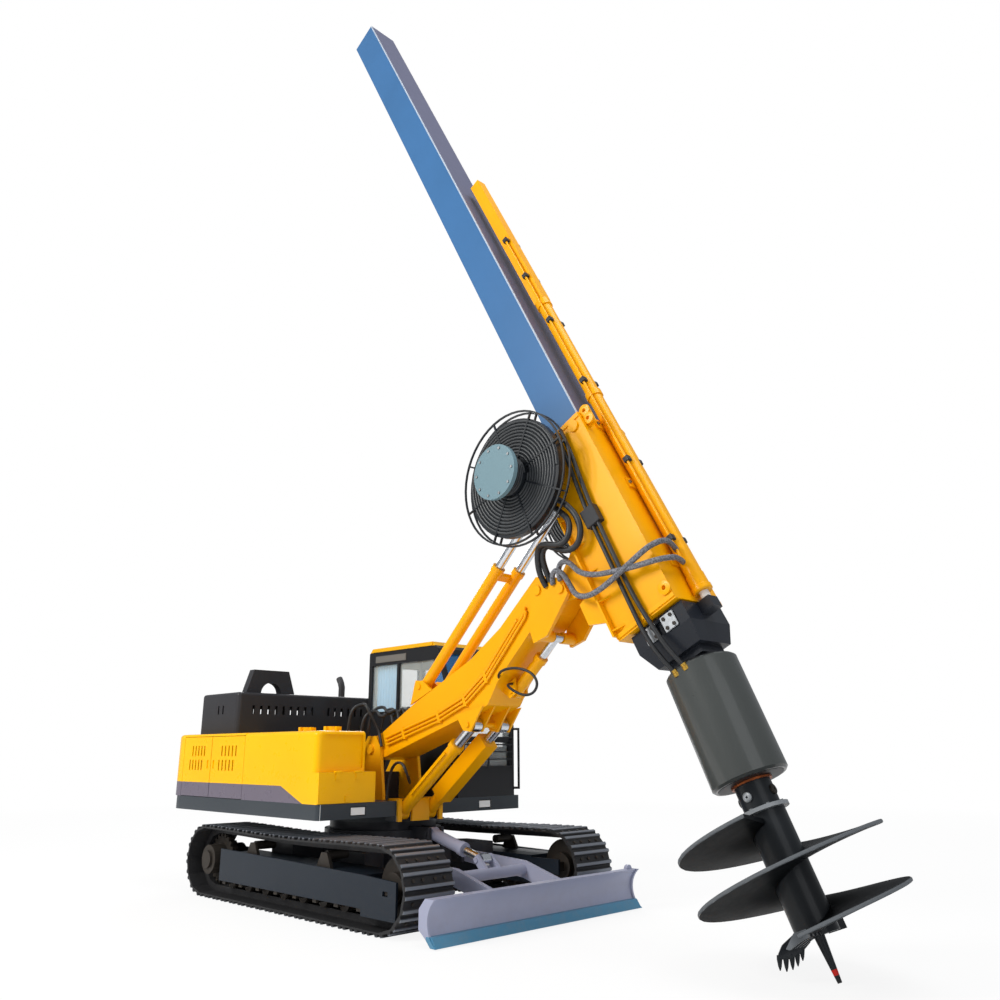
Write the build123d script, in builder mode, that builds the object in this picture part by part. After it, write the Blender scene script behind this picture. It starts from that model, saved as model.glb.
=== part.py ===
"""Rotary piling rig: a tracked carrier with a blade, a boom, a leaning mast, a square bar and an auger.

Frame: +X ahead, +Y left, +Z up, origin on the ground under the slew axis. Lengths in millimetres.
"""

import os
from math import cos, hypot, pi, radians, sin

from build123d import *

os.makedirs("parts", exist_ok=True)

# General clearances and plates
SLIP = 0.3
RUN = 8.0
PLATE = 16.0

# Tracks and undercarriage
TRACK_AHEAD = 150.0
WHEELBASE = 3530.0
GAUGE = 2400.0
SHOE_WIDTH = 600.0
TRACK_HEIGHT = 810.0
CHAIN_DEPTH = 84.0
LUG_HEIGHT = 26.0
SHOE_PLATE = 16.0
CHAIN_WIDTH = 180.0
SHOE_COUNT = 48
TOP_SAG = 26.0
BEAM_BOTTOM = 300.0
BEAM_TOP = 505.0
SKIRT_TOP = 555.0
SKIRT_FRONT_TOP = 509.0
GUARD_REACH = 193.0
GUARD_DROP = 265.0
FRAME_HALF = 250.0
SKIRT = 25.0
SKIRT_BOTTOM = 205.0
ROLLER_COUNT = 8
ROLLER_RADIUS = 88.0
CARRIER_RADIUS = 48.0
TOOTH_COUNT = 21
CAR_BOTTOM = 400.0
CAR_TOP = 790.0
RING_RADIUS = 640.0
RING_SPLIT = 880.0

# Blade
BLADE_WIDTH = 2985.0
BLADE_HEIGHT = 392.0
BLADE_REACH = 409.0
BLADE_BOTTOM = 10.0
ARM_Y = 500.0
ARM_THICK = 60.0
ARM_PIN_X = 880.0
ARM_PIN_Z = 500.0
CROSS_TUBE_BACK = 829.0
CROSS_TUBE_Z = 420.0
CROSS_TUBE_RADIUS = 58.0

# Deck and upper works
DECK_BOTTOM = 967.0
DECK_TOP = 1126.0
DECK_FRONT = 859.0
DECK_HALF = 1520.0
TAIL_X = -2760.0
TAIL_RADIUS = 420.0
PANEL_TOP = 1882.0
DOOR_THICK = 40.0
TANK_WIDTH = 630.0
TANK_FRONT = 785.0
TANK_REAR = -742.0
DOOR_SPLIT = -1559.0
BAY_REAR = -2300.0
HOOD_FRONT = -1490.0
HOOD_REAR = -2480.0
HOOD_INSET = 270.0
HOOD_TOP = 2410.0
HOOD_SLOTS = 9
LAMP_YS = (-1005.0, 895.0)

# Cab
CAB_REAR = -1010.0
CAB_FRONT = 855.0
CAB_WIDTH = 960.0
CAB_INSET = 110.0
CAB_ROOF = 3035.0
CAB_WALL = 60.0
CAB_BROW_X = 330.0

# Boom, in the plane of the working gear
GEAR_Y = -150.0
BOOM_HALF = 250.0
FOOT_X = 300.0
FOOT_Z = 1690.0
LIFT_BASE_X = 790.0
LIFT_BASE_Z = 960.0
LIFT_TOP_X = 1985.0
LIFT_TOP_Z = 1935.0
LIFT_SPREAD = 200.0
TILT_BASE_X = 1108.0
TILT_BASE_Z = 2380.0
TILT_SPREAD = 160.0
HEAD_PIN_X = 3030.0
HEAD_PIN_Z = 3240.0
UNDER_BASE_X = 2436.0
UNDER_BASE_Z = 2270.0
UNDER_EYE_X = 3010.0
UNDER_EYE_Z = 2790.0

# Mast: s runs up the bar's axis and t runs ahead of it
MAST_X = 3244.0
MAST_Z = 5200.0
MAST_LEAN = 27.4
MAST_HALF = 380.0
MAST_REAR_T = -420.0
MAST_FRONT_T = 300.0
MAST_TOP_S = -385.0
MAST_BOTTOM_S = -2690.0
MAST_PIN_S = -1802.0
MAST_PIN_T = -826.0
TILT_PIN_S = -700.0
TILT_PIN_T = -615.0
RIB_COUNT = 5
BAR_SIDE = 442.0
BAR_WALL = 22.0
BAR_TOP_S = 8560.0
INNER_SIDE = 380.0
GUIDE_GAP = 10.0
CROWD_RADIUS = 76.0
CROWD_BORE = 58.0
CROWD_ROD = 46.0
CROWD_TOP_S = 3900.0
CROWD_COLLAR_S = 1500.0
CROWD_BOX = 146.0
CROWD_BOTTOM_S = -2460.0
FOOT_BLOCK_TOP_S = -2712.0
FOOT_BLOCK_BOTTOM_S = -3080.0
REEL_S = -620.0
REEL_T = -580.0
REEL_OUT = 540.0
REEL_RADIUS = 720.0
REEL_SPOKES = 8

# Power head and auger: u runs down the head's axis from its top
HEAD_TOP_S = -3190.0
HEAD_LEAN = 23.2
HEAD_RADIUS = 330.0
HEAD_LENGTH = 1040.0
COUPLING_END = 1270.0
COUPLING_RADIUS = 155.0
STEM_RADIUS = 167.0
AUGER_RADIUS = 803.0
FLIGHT_START = 1364.0
FLIGHT_PITCH = 354.0
FLIGHT_STRETCH = 32.0
FLIGHT_TURNS = 1.993
FLIGHT_ANGLE = -107.0
FLIGHT_THICK = 26.0
FLIGHT_STEPS = 28
TOOTH_LENGTH = 120.0
TIP_END = 2562.0

# Left and right, as a name and a sign
SIDES = (("right", -1), ("left", 1))

# Unit vectors of the mast and of the power head, as X and Z
MAST_UP = (-sin(radians(MAST_LEAN)), cos(radians(MAST_LEAN)))
MAST_AHEAD = (cos(radians(MAST_LEAN)), sin(radians(MAST_LEAN)))
HEAD_DOWN = (sin(radians(HEAD_LEAN)), -cos(radians(HEAD_LEAN)))

GEAR = Plane(origin=(0, GEAR_Y, 0), x_dir=(1, 0, 0), z_dir=(0, -1, 0))


def on_mast(s, t):
    """Point in X and Z at s up the bar and t ahead of it."""
    return (MAST_X + s * MAST_UP[0] + t * MAST_AHEAD[0], MAST_Z + s * MAST_UP[1] + t * MAST_AHEAD[1])


def mast_plane(s, t=0.0, y=0.0):
    """Plane square to the bar: local X ahead, local Y left, normal up the bar."""
    x, z = on_mast(s, t)
    return Plane(origin=(x, GEAR_Y + y, z), x_dir=(MAST_AHEAD[0], 0, MAST_AHEAD[1]),
                 z_dir=(MAST_UP[0], 0, MAST_UP[1]))


def head_plane(u):
    """Plane square to the auger's axis, u below the head's top, normal down the axis."""
    x, z = on_mast(HEAD_TOP_S, 0)
    place = (x + u * HEAD_DOWN[0], GEAR_Y, z + u * HEAD_DOWN[1])
    return Plane(origin=place, x_dir=(HEAD_DOWN[1], 0, -HEAD_DOWN[0]), z_dir=(HEAD_DOWN[0], 0, HEAD_DOWN[1]))


def slab(outline, y_mid, width, mode=Mode.ADD):
    """Extrude an outline of X and Z points to a width about y_mid."""
    with BuildSketch(Plane(origin=(0, y_mid, 0), x_dir=(1, 0, 0), z_dir=(0, -1, 0))) as face:
        with BuildLine():
            Polyline(*outline, close=True)
        make_face()
    extrude(face.sketch, amount=width / 2, both=True, mode=mode)


def band(outline, inside, y_mid, width):
    """Extrude a closed band between two outlines of X and Z points."""
    with BuildSketch(Plane(origin=(0, y_mid, 0), x_dir=(1, 0, 0), z_dir=(0, -1, 0))) as face:
        with BuildLine():
            Polyline(*outline, close=True)
        make_face()
        with BuildLine():
            Polyline(*inside, close=True)
        make_face(mode=Mode.SUBTRACT)
    extrude(face.sketch, amount=width / 2, both=True)


def block(x, y, z, mode=Mode.ADD):
    """Box between the two values given for each axis."""
    with Locations(((x[0] + x[1]) / 2, (y[0] + y[1]) / 2, (z[0] + z[1]) / 2)):
        Box(x[1] - x[0], y[1] - y[0], z[1] - z[0], mode=mode)


def bar_between(start, end, radius, mode=Mode.ADD):
    """Round bar from one point to another."""
    run = Vector(*end) - Vector(*start)
    with BuildSketch(Plane(origin=start, z_dir=run)) as face:
        Circle(radius)
    extrude(face.sketch, amount=run.length, mode=mode)


def cross_bar(x, z, y_mid, width, radius, mode=Mode.ADD):
    """Round bar along Y."""
    bar_between((x, y_mid - width / 2, z), (x, y_mid + width / 2, z), radius, mode)


def along(start, end, distance):
    """Point in X and Z at a distance from start towards end."""
    span = hypot(end[0] - start[0], end[1] - start[1])
    return (start[0] + (end[0] - start[0]) * distance / span,
            start[1] + (end[1] - start[1]) * distance / span)


def cylinder_barrel(base, eye, y_mid, length, radius, bore, eye_radius, pin_radius):
    """Cylinder barrel with its base eye, bored for the rod."""
    end = along(base, eye, length)
    start = along(base, eye, eye_radius * 0.6)
    cross_bar(base[0], base[1], y_mid, radius * 1.5, eye_radius)
    bar_between((start[0], y_mid, start[1]), (end[0], y_mid, end[1]), radius)
    collar = along(base, eye, length - radius)
    bar_between((collar[0], y_mid, collar[1]), (end[0], y_mid, end[1]), radius * 1.16)
    floor = along(base, eye, eye_radius + radius)
    bar_between((floor[0], y_mid, floor[1]), (end[0], y_mid, end[1]), bore, Mode.SUBTRACT)
    cross_bar(base[0], base[1], y_mid, radius * 4, pin_radius, Mode.SUBTRACT)


def cylinder_rod(base, eye, y_mid, start_length, radius, eye_radius, eye_width, hole_radius):
    """Cylinder rod with its eye, from start_length inside the barrel."""
    start = along(base, eye, start_length)
    bar_between((start[0], y_mid, start[1]), (eye[0], y_mid, eye[1]), radius)
    cross_bar(eye[0], eye[1], y_mid, eye_width, eye_radius)
    cross_bar(eye[0], eye[1], y_mid, eye_width * 2, hole_radius, Mode.SUBTRACT)


def keep(builder, name):
    """Label a finished piece and write it."""
    builder.part.label = name
    export_step(builder.part, f"parts/{name}.step")


def octagon_run(points, radius):
    """Eight-sided pipe through points, with mitred bends."""
    with BuildLine() as path:
        Polyline(*points)
    first = Vector(*points[1]) - Vector(*points[0])
    with BuildSketch(Plane(origin=points[0], z_dir=first)) as face:
        RegularPolygon(radius, 8)
    sweep(face.sketch, path=path.line, transition=Transition.RIGHT)


def tail_plate(front, tail, z_low, z_high):
    """Plate across the upper works with its two rear corners rounded."""
    with BuildSketch(Plane.XY.offset(z_low)) as face:
        with BuildLine():
            Polyline((front, -DECK_HALF), (tail + TAIL_RADIUS, -DECK_HALF))
            RadiusArc((tail + TAIL_RADIUS, -DECK_HALF), (tail, -DECK_HALF + TAIL_RADIUS), TAIL_RADIUS)
            Polyline((tail, -DECK_HALF + TAIL_RADIUS), (tail, DECK_HALF - TAIL_RADIUS))
            RadiusArc((tail, DECK_HALF - TAIL_RADIUS), (tail + TAIL_RADIUS, DECK_HALF), TAIL_RADIUS)
            Polyline((tail + TAIL_RADIUS, DECK_HALF), (front, DECK_HALF), (front, -DECK_HALF))
        make_face()
    extrude(face.sketch, amount=z_high - z_low)


# Track loops
WHEEL_Z = TRACK_HEIGHT / 2
REAR_X = TRACK_AHEAD - WHEELBASE / 2
FRONT_X = TRACK_AHEAD + WHEELBASE / 2
SHOE_FACE = TRACK_HEIGHT / 2 - LUG_HEIGHT
CHAIN_FACE = SHOE_FACE - CHAIN_DEPTH


def loop_point(share, radius):
    """Point of the loop at a share of its length, radius out from the wheels' axles."""
    turn = pi * SHOE_FACE
    length = 2 * WHEELBASE + 2 * turn
    run = (share % 1.0) * length
    if run < WHEELBASE:
        return (REAR_X + run, WHEEL_Z - radius)
    run -= WHEELBASE
    if run < turn:
        angle = run / SHOE_FACE - pi / 2
        return (FRONT_X + radius * cos(angle), WHEEL_Z + radius * sin(angle))
    run -= turn
    if run < WHEELBASE:
        sag = TOP_SAG * sin(pi * run / WHEELBASE) ** 2
        return (FRONT_X - run, WHEEL_Z + radius - sag)
    angle = (run - WHEELBASE) / SHOE_FACE + pi / 2
    return (REAR_X + radius * cos(angle), WHEEL_Z + radius * sin(angle))


# One shoe across its pitch, as share of the pitch and height over the shoe's face
SHOE_PROFILE = ((0.06, 0.0), (0.14, 1.0), (0.26, 1.0), (0.34, 0.0), (0.66, 0.0), (0.74, 1.0), (0.86, 1.0),
                (0.94, 0.0))
shoe_outline = []
for shoe in range(SHOE_COUNT):
    for share, rise in SHOE_PROFILE:
        shoe_outline.append(loop_point((shoe + share) / SHOE_COUNT, SHOE_FACE + rise * LUG_HEIGHT))
plate_outline = [loop_point(link / SHOE_COUNT, SHOE_FACE - SHOE_PLATE) for link in range(SHOE_COUNT)]
weld_outline = [loop_point(link / SHOE_COUNT, SHOE_FACE - SHOE_PLATE + 4) for link in range(SHOE_COUNT)]
chain_outline = [loop_point(link / SHOE_COUNT, CHAIN_FACE) for link in range(SHOE_COUNT)]

for side, sign in SIDES:
    track_y = sign * GAUGE / 2
    with BuildPart() as track:
        band(shoe_outline, plate_outline, track_y, SHOE_WIDTH)
        band(weld_outline, chain_outline, track_y, CHAIN_WIDTH)
    keep(track, f"track_{side}")

# Track frames: box beam, skirts, guard over the idler, arm to the sprocket
BEAM_REAR = REAR_X + CHAIN_FACE + 70
BEAM_FRONT = FRONT_X - CHAIN_FACE - 40
YOKE_HALF_HEIGHT = 80.0
for side, sign in SIDES:
    mid = sign * GAUGE / 2
    outer = mid + sign * (FRAME_HALF - SKIRT / 2)
    inner = mid - sign * (FRAME_HALF - SKIRT / 2)
    with BuildPart() as track_frame:
        block((BEAM_REAR, BEAM_FRONT), (mid - FRAME_HALF, mid + FRAME_HALF), (BEAM_BOTTOM, BEAM_TOP))
        slab([(BEAM_REAR, SKIRT_BOTTOM), (BEAM_FRONT, SKIRT_BOTTOM), (BEAM_FRONT, BEAM_TOP),
              (BEAM_REAR, BEAM_TOP)], inner, SKIRT)
        slab([(BEAM_REAR, SKIRT_BOTTOM), (BEAM_FRONT, SKIRT_BOTTOM), (BEAM_FRONT, SKIRT_FRONT_TOP),
              (BEAM_REAR, SKIRT_TOP)],
             outer, SKIRT)
        slab([(BEAM_FRONT - 10, WHEEL_Z - GUARD_DROP), (FRONT_X + GUARD_REACH, WHEEL_Z - GUARD_DROP),
              (FRONT_X + GUARD_REACH, WHEEL_Z + YOKE_HALF_HEIGHT),
              (BEAM_FRONT - 10, SKIRT_FRONT_TOP)], outer, SKIRT)
        block((FRONT_X - 10, FRONT_X + 70), sorted((outer - SKIRT, outer + SKIRT)),
              (WHEEL_Z - 56, WHEEL_Z - 12), Mode.SUBTRACT)
        block((BEAM_FRONT - 10, FRONT_X + YOKE_HALF_HEIGHT), (inner - SKIRT / 2, inner + SKIRT / 2),
              (WHEEL_Z - YOKE_HALF_HEIGHT, WHEEL_Z + YOKE_HALF_HEIGHT))
        block((REAR_X - YOKE_HALF_HEIGHT, BEAM_REAR + 10), (inner - SKIRT / 2, inner + SKIRT / 2),
              (WHEEL_Z - 120, WHEEL_Z + 120))
    keep(track_frame, f"track_frame_{side}")

# Idler, toothed sprocket with its drive hub, bottom rollers and carrier rollers of each side
CARRIER_XS = (TRACK_AHEAD - 785, TRACK_AHEAD + 670)
ROLLER_GAP = (BEAM_FRONT - BEAM_REAR - 160) / (ROLLER_COUNT - 1)
ROLLER_Z = WHEEL_Z - CHAIN_FACE + ROLLER_RADIUS + SLIP
SHAFT = FRAME_HALF - SKIRT - SLIP
WHEEL_RADIUS = CHAIN_FACE * 0.96
CARRIER_Z = WHEEL_Z + CHAIN_FACE - TOP_SAG - CARRIER_RADIUS - 2
HUB_RADIUS = 165.0
# One tooth across its share of the turn: share and part of the wheel's radius
TOOTH_PROFILE = ((0.0, 0.88), (0.25, 0.88), (0.42, 1.0), (0.83, 1.0))
tooth_outline = []
for tooth in range(TOOTH_COUNT):
    for share, reach in TOOTH_PROFILE:
        angle = 2 * pi * (tooth + share) / TOOTH_COUNT
        tooth_outline.append((REAR_X + reach * WHEEL_RADIUS * cos(angle),
                              WHEEL_Z + reach * WHEEL_RADIUS * sin(angle)))
for side, sign in SIDES:
    mid = sign * GAUGE / 2
    with BuildPart() as running_gear:
        cross_bar(FRONT_X, WHEEL_Z, mid, 110, WHEEL_RADIUS)
        cross_bar(FRONT_X, WHEEL_Z, mid, 260, WHEEL_RADIUS * 0.5)
        block((FRONT_X - 60, FRONT_X + 60), (mid - SHAFT, mid + SHAFT), (WHEEL_Z - 50, WHEEL_Z + 50))
        slab(tooth_outline, mid, 80)
        bar_between((REAR_X, mid - sign * SHAFT, WHEEL_Z), (REAR_X, mid + sign * 215, WHEEL_Z), HUB_RADIUS)
        bar_between((REAR_X, mid + sign * 214, WHEEL_Z), (REAR_X, mid + sign * 245, WHEEL_Z),
                    HUB_RADIUS * 0.6)
        for index in range(ROLLER_COUNT):
            x = BEAM_REAR + 80 + index * ROLLER_GAP
            cross_bar(x, ROLLER_Z, mid, CHAIN_WIDTH + 60, ROLLER_RADIUS)
            block((x - 35, x + 35), (mid - SHAFT, mid + SHAFT), (ROLLER_Z - 30, ROLLER_Z + 30))
        for x in CARRIER_XS:
            cross_bar(x, CARRIER_Z, mid + sign * 30, 250, CARRIER_RADIUS)
            slab([(x - 130, BEAM_TOP), (x + 130, BEAM_TOP), (x + 50, CARRIER_Z + 30),
                  (x - 50, CARRIER_Z + 30)], mid + sign * 172, 36)
    keep(running_gear, f"running_gear_{side}")

# Car body between the track frames, with the fixed half of the slew ring
CAR_REACH = GAUGE / 2 - FRAME_HALF
LEG_FOOT = (480.0, 940.0)
LEG_ROOT = (120.0, 640.0)
LUG_REACH = ARM_PIN_X + 80
LUG_THICK = 40.0
BLADE_FRONT = FRONT_X + TRACK_HEIGHT / 2 + BLADE_REACH
CROSS_TUBE_X = BLADE_FRONT - CROSS_TUBE_BACK
BLADE_BASE = (930.0, 760.0)
BLADE_EYE = (CROSS_TUBE_X - 130, CROSS_TUBE_Z + 125)
with BuildPart() as car_body:
    for ahead in (-1, 1):
        for sign in (-1, 1):
            with BuildSketch(Plane.XY.offset(CAR_BOTTOM + 20)):
                with BuildLine():
                    Polyline((ahead * LEG_ROOT[0], sign * 300), (ahead * LEG_ROOT[1], sign * 300),
                             (ahead * LEG_FOOT[1], sign * CAR_REACH), (ahead * LEG_FOOT[0], sign * CAR_REACH),
                             close=True)
                make_face()
            extrude(amount=200)
    with BuildSketch(Plane.XY.offset(CAR_BOTTOM)):
        Circle(RING_RADIUS + 60)
    extrude(amount=CAR_TOP - CAR_BOTTOM)
    with BuildSketch(Plane.XY.offset(CAR_TOP)):
        Circle(RING_RADIUS)
    extrude(amount=RING_SPLIT - CAR_TOP)
    block((500, 780), (-620, 620), (CAR_BOTTOM + 20, CAR_BOTTOM + 200))
    for arm in (-ARM_Y, ARM_Y):
        for edge in (-1, 1):
            lug_y = arm + edge * (ARM_THICK / 2 + RUN + LUG_THICK / 2)
            block((760, LUG_REACH), (lug_y - LUG_THICK / 2, lug_y + LUG_THICK / 2),
                  (CAR_BOTTOM + 20, CAR_BOTTOM + 190))
        cross_bar(ARM_PIN_X, ARM_PIN_Z, arm, ARM_THICK + 2 * RUN + 2 * LUG_THICK + 30, 38)
    for edge in (-1, 1):
        block((600, BLADE_BASE[0] + 60), (edge * 95 - 20, edge * 95 + 20), (CAR_TOP - 180, CAR_TOP + 40))
    cross_bar(*BLADE_BASE, 0, 250, 34)
keep(car_body, "car_body")

# Blade: hollow-faced mouldboard, end plates, cutting edge, push arms and cross tube
BLADE_BACK = BLADE_FRONT - 210
BLADE_TOP = BLADE_BOTTOM + BLADE_HEIGHT
END_PLATE = 24.0


def blade_side(proud):
    """Mouldboard's section as a face, its hollow front moved ahead by the proud amount."""
    front = BLADE_FRONT - END_PLATE + proud
    with BuildSketch(Plane(origin=(0, 0, 0), x_dir=(1, 0, 0), z_dir=(0, -1, 0))) as section:
        with BuildLine():
            Polyline((front, BLADE_BOTTOM), (front - 46, BLADE_BOTTOM),
                     (BLADE_BACK - proud, BLADE_BOTTOM + 130),
                     (BLADE_BACK - proud, BLADE_BOTTOM + 300), (BLADE_BACK + 60, BLADE_TOP),
                     (front - 20, BLADE_TOP))
            ThreePointArc((front - 20, BLADE_TOP), (front - 118, BLADE_BOTTOM + BLADE_HEIGHT * 0.52),
                          (front, BLADE_BOTTOM))
        make_face()
    return section.sketch


with BuildPart() as blade:
    extrude(blade_side(0), amount=BLADE_WIDTH / 2, both=True)
    extrude(blade_side(END_PLATE), amount=BLADE_WIDTH / 2, both=True)
    block((BLADE_BACK - 100, BLADE_FRONT + 100), (-BLADE_WIDTH / 2 + END_PLATE, BLADE_WIDTH / 2 - END_PLATE),
          (BLADE_BOTTOM - 50, BLADE_TOP + 50), Mode.SUBTRACT)
    extrude(blade_side(0), amount=BLADE_WIDTH / 2 - END_PLATE / 2, both=True)
    slab([(BLADE_FRONT - 2, BLADE_BOTTOM), (BLADE_FRONT - 60, BLADE_BOTTOM),
          (BLADE_FRONT - 110, BLADE_BOTTOM + 86),
          (BLADE_FRONT - 64, BLADE_BOTTOM + 86)], 0, BLADE_WIDTH - END_PLATE)
    bar_between((BLADE_FRONT - 130, BLADE_WIDTH / 2 - 90, BLADE_TOP),
                (BLADE_FRONT - 90, BLADE_WIDTH / 2 - 90, BLADE_TOP), 46)
    for arm in (-ARM_Y, ARM_Y):
        slab([(ARM_PIN_X - 10, ARM_PIN_Z + 62), (CROSS_TUBE_X, CROSS_TUBE_Z + 85), (BLADE_BACK + 10, 330),
              (BLADE_BACK + 30, 160), (CROSS_TUBE_X, CROSS_TUBE_Z - 85), (ARM_PIN_X - 10, ARM_PIN_Z - 62)],
             arm, ARM_THICK)
        cross_bar(ARM_PIN_X, ARM_PIN_Z, arm, ARM_THICK, 72)
        cross_bar(ARM_PIN_X, ARM_PIN_Z, arm, ARM_THICK * 2, 38 + SLIP, Mode.SUBTRACT)
    cross_bar(CROSS_TUBE_X, CROSS_TUBE_Z, 0, 2 * ARM_Y + ARM_THICK, CROSS_TUBE_RADIUS)
    for edge in (-1, 1):
        slab([(CROSS_TUBE_X - 50, CROSS_TUBE_Z), (BLADE_EYE[0] - 50, BLADE_EYE[1] + 10),
              (BLADE_EYE[0] + 10, BLADE_EYE[1] + 60),
              (CROSS_TUBE_X + 40, CROSS_TUBE_Z + 40)], edge * 92, 36)
    cross_bar(*BLADE_EYE, 0, 240, 26)
keep(blade, "blade")

with BuildPart() as blade_barrel:
    cylinder_barrel(BLADE_BASE, BLADE_EYE, 0, 560, 66, 46, 70, 34 + SLIP)
keep(blade_barrel, "blade_barrel")

with BuildPart() as blade_rod:
    cylinder_rod(BLADE_BASE, BLADE_EYE, 0, 240, 46 - SLIP, 62, 120, 42)
keep(blade_rod, "blade_rod")

# Deck with the boom's foot brackets, the front block of the lift cylinders and two lamps in its front
CHEEK_GAP = BOOM_HALF + RUN
CHEEK = 40.0
LAMP_Z = (DECK_BOTTOM + DECK_TOP) / 2 - 4
LIFT_BASE = (LIFT_BASE_X, LIFT_BASE_Z + 40)
LIFT_TOP = (LIFT_TOP_X, LIFT_TOP_Z)
with BuildPart() as deck:
    tail_plate(DECK_FRONT, TAIL_X + 40, DECK_BOTTOM, DECK_TOP)
    fillet(deck.edges().filter_by(Axis.Z).group_by(Axis.X)[-1], 60)
    with BuildSketch(Plane.XY.offset(RING_SPLIT + SLIP)):
        Circle(RING_RADIUS)
    extrude(amount=DECK_BOTTOM - RING_SPLIT)
    for edge in (-1, 1):
        cheek_y = GEAR_Y + edge * (CHEEK_GAP + CHEEK / 2)
        slab([(-330, DECK_TOP - 5), (560, DECK_TOP - 5), (470, FOOT_Z + 40), (390, FOOT_Z + 150),
              (180, FOOT_Z + 150), (60, FOOT_Z)],
             cheek_y, CHEEK)
    cross_bar(FOOT_X, FOOT_Z, GEAR_Y, 2 * (CHEEK_GAP + CHEEK) + 50, 55)
    block((LIFT_BASE_X - 130, LIFT_BASE_X + 100), (GEAR_Y - 330, GEAR_Y + 330),
          (DECK_BOTTOM - 60, DECK_TOP + 20))
    for edge in (-1, 1):
        slot_y = GEAR_Y + edge * LIFT_SPREAD
        block((LIFT_BASE_X - 110, LIFT_BASE_X + 200), (slot_y - 75, slot_y + 75),
              (DECK_BOTTOM - 200, DECK_TOP + 200),
              Mode.SUBTRACT)
    cross_bar(*LIFT_BASE, GEAR_Y, 690, 42)
    for y in LAMP_YS:
        block((DECK_FRONT - 26, DECK_FRONT + 10), (y - 105, y + 105), (LAMP_Z - 48, LAMP_Z + 48),
              Mode.SUBTRACT)
        block((DECK_FRONT - 27, DECK_FRONT - 6), (y - 92, y + 92), (LAMP_Z - 38, LAMP_Z + 38))
keep(deck, "deck")

# Counterweight across the tail
with BuildPart() as counterweight:
    tail_plate(BAY_REAR, TAIL_X, DECK_TOP, PANEL_TOP)
    fillet(counterweight.faces().sort_by(Axis.Z)[-1].edges().sort_by(Axis.X)[:-1], 45)
keep(counterweight, "counterweight")

# Engine as one plain block
HOOD_HALF = DECK_HALF - HOOD_INSET
with BuildPart() as engine:
    block((BAY_REAR + 60, HOOD_FRONT - 90), (-HOOD_HALF * 0.6, HOOD_HALF * 0.6), (DECK_TOP, HOOD_TOP - 280))
keep(engine, "engine")

# Hood over the engine, open below, with air slots, an arched guard and a bent exhaust pipe
HOOD_SKIN = 30.0
GUARD_X = HOOD_FRONT - 210
GUARD_HEIGHT = 310.0
EXHAUST_X = HOOD_FRONT - 310
SLOT_STEP = HOOD_HALF * 0.089
SLOT_Z = HOOD_TOP - 217
with BuildPart() as hood:
    block((HOOD_REAR, HOOD_FRONT), (-HOOD_HALF, HOOD_HALF), (PANEL_TOP + SLIP, HOOD_TOP))
    fillet(hood.edges().filter_by(Axis.Z), 60)
    fillet(hood.faces().sort_by(Axis.Z)[-1].edges(), 40)
    block((HOOD_REAR + HOOD_SKIN, HOOD_FRONT - HOOD_SKIN), (-HOOD_HALF + HOOD_SKIN, HOOD_HALF - HOOD_SKIN),
          (PANEL_TOP - 10, HOOD_TOP - HOOD_SKIN), Mode.SUBTRACT)
    for half in (-1, 1):
        for slot in range(HOOD_SLOTS):
            y = half * (HOOD_HALF * 0.105 + slot * SLOT_STEP)
            block((HOOD_REAR - 20, HOOD_FRONT + 20), (y - 18, y + 18), (SLOT_Z - 54, SLOT_Z + 54),
                  Mode.SUBTRACT)
    for x in (HOOD_FRONT - 380, HOOD_FRONT - 500):
        block((x - 18, x + 18), (-HOOD_HALF - 20, HOOD_HALF + 20), (SLOT_Z - 54, SLOT_Z + 54), Mode.SUBTRACT)
    with BuildSketch(Plane(origin=(GUARD_X, 0, HOOD_TOP - 1), x_dir=(0, 1, 0), z_dir=(1, 0, 0))) as guard:
        with BuildLine():
            Polyline((-HOOD_HALF * 0.85, 0), (-HOOD_HALF * 0.77, GUARD_HEIGHT),
                     (-HOOD_HALF * 0.35, GUARD_HEIGHT), (-HOOD_HALF * 0.265, 0),
                     close=True)
        make_face()
        with Locations((-HOOD_HALF * 0.556, 0)):
            Circle(150, mode=Mode.SUBTRACT)
    extrude(guard.sketch, amount=60, both=True)
    pipe_y = HOOD_HALF * 0.44
    octagon_run([(EXHAUST_X, pipe_y, HOOD_TOP - 1), (EXHAUST_X, pipe_y, HOOD_TOP + 150),
                 (EXHAUST_X - 25, pipe_y, HOOD_TOP + 215),
                 (EXHAUST_X - 75, pipe_y, HOOD_TOP + 285)], 46)
keep(hood, "hood")

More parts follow.
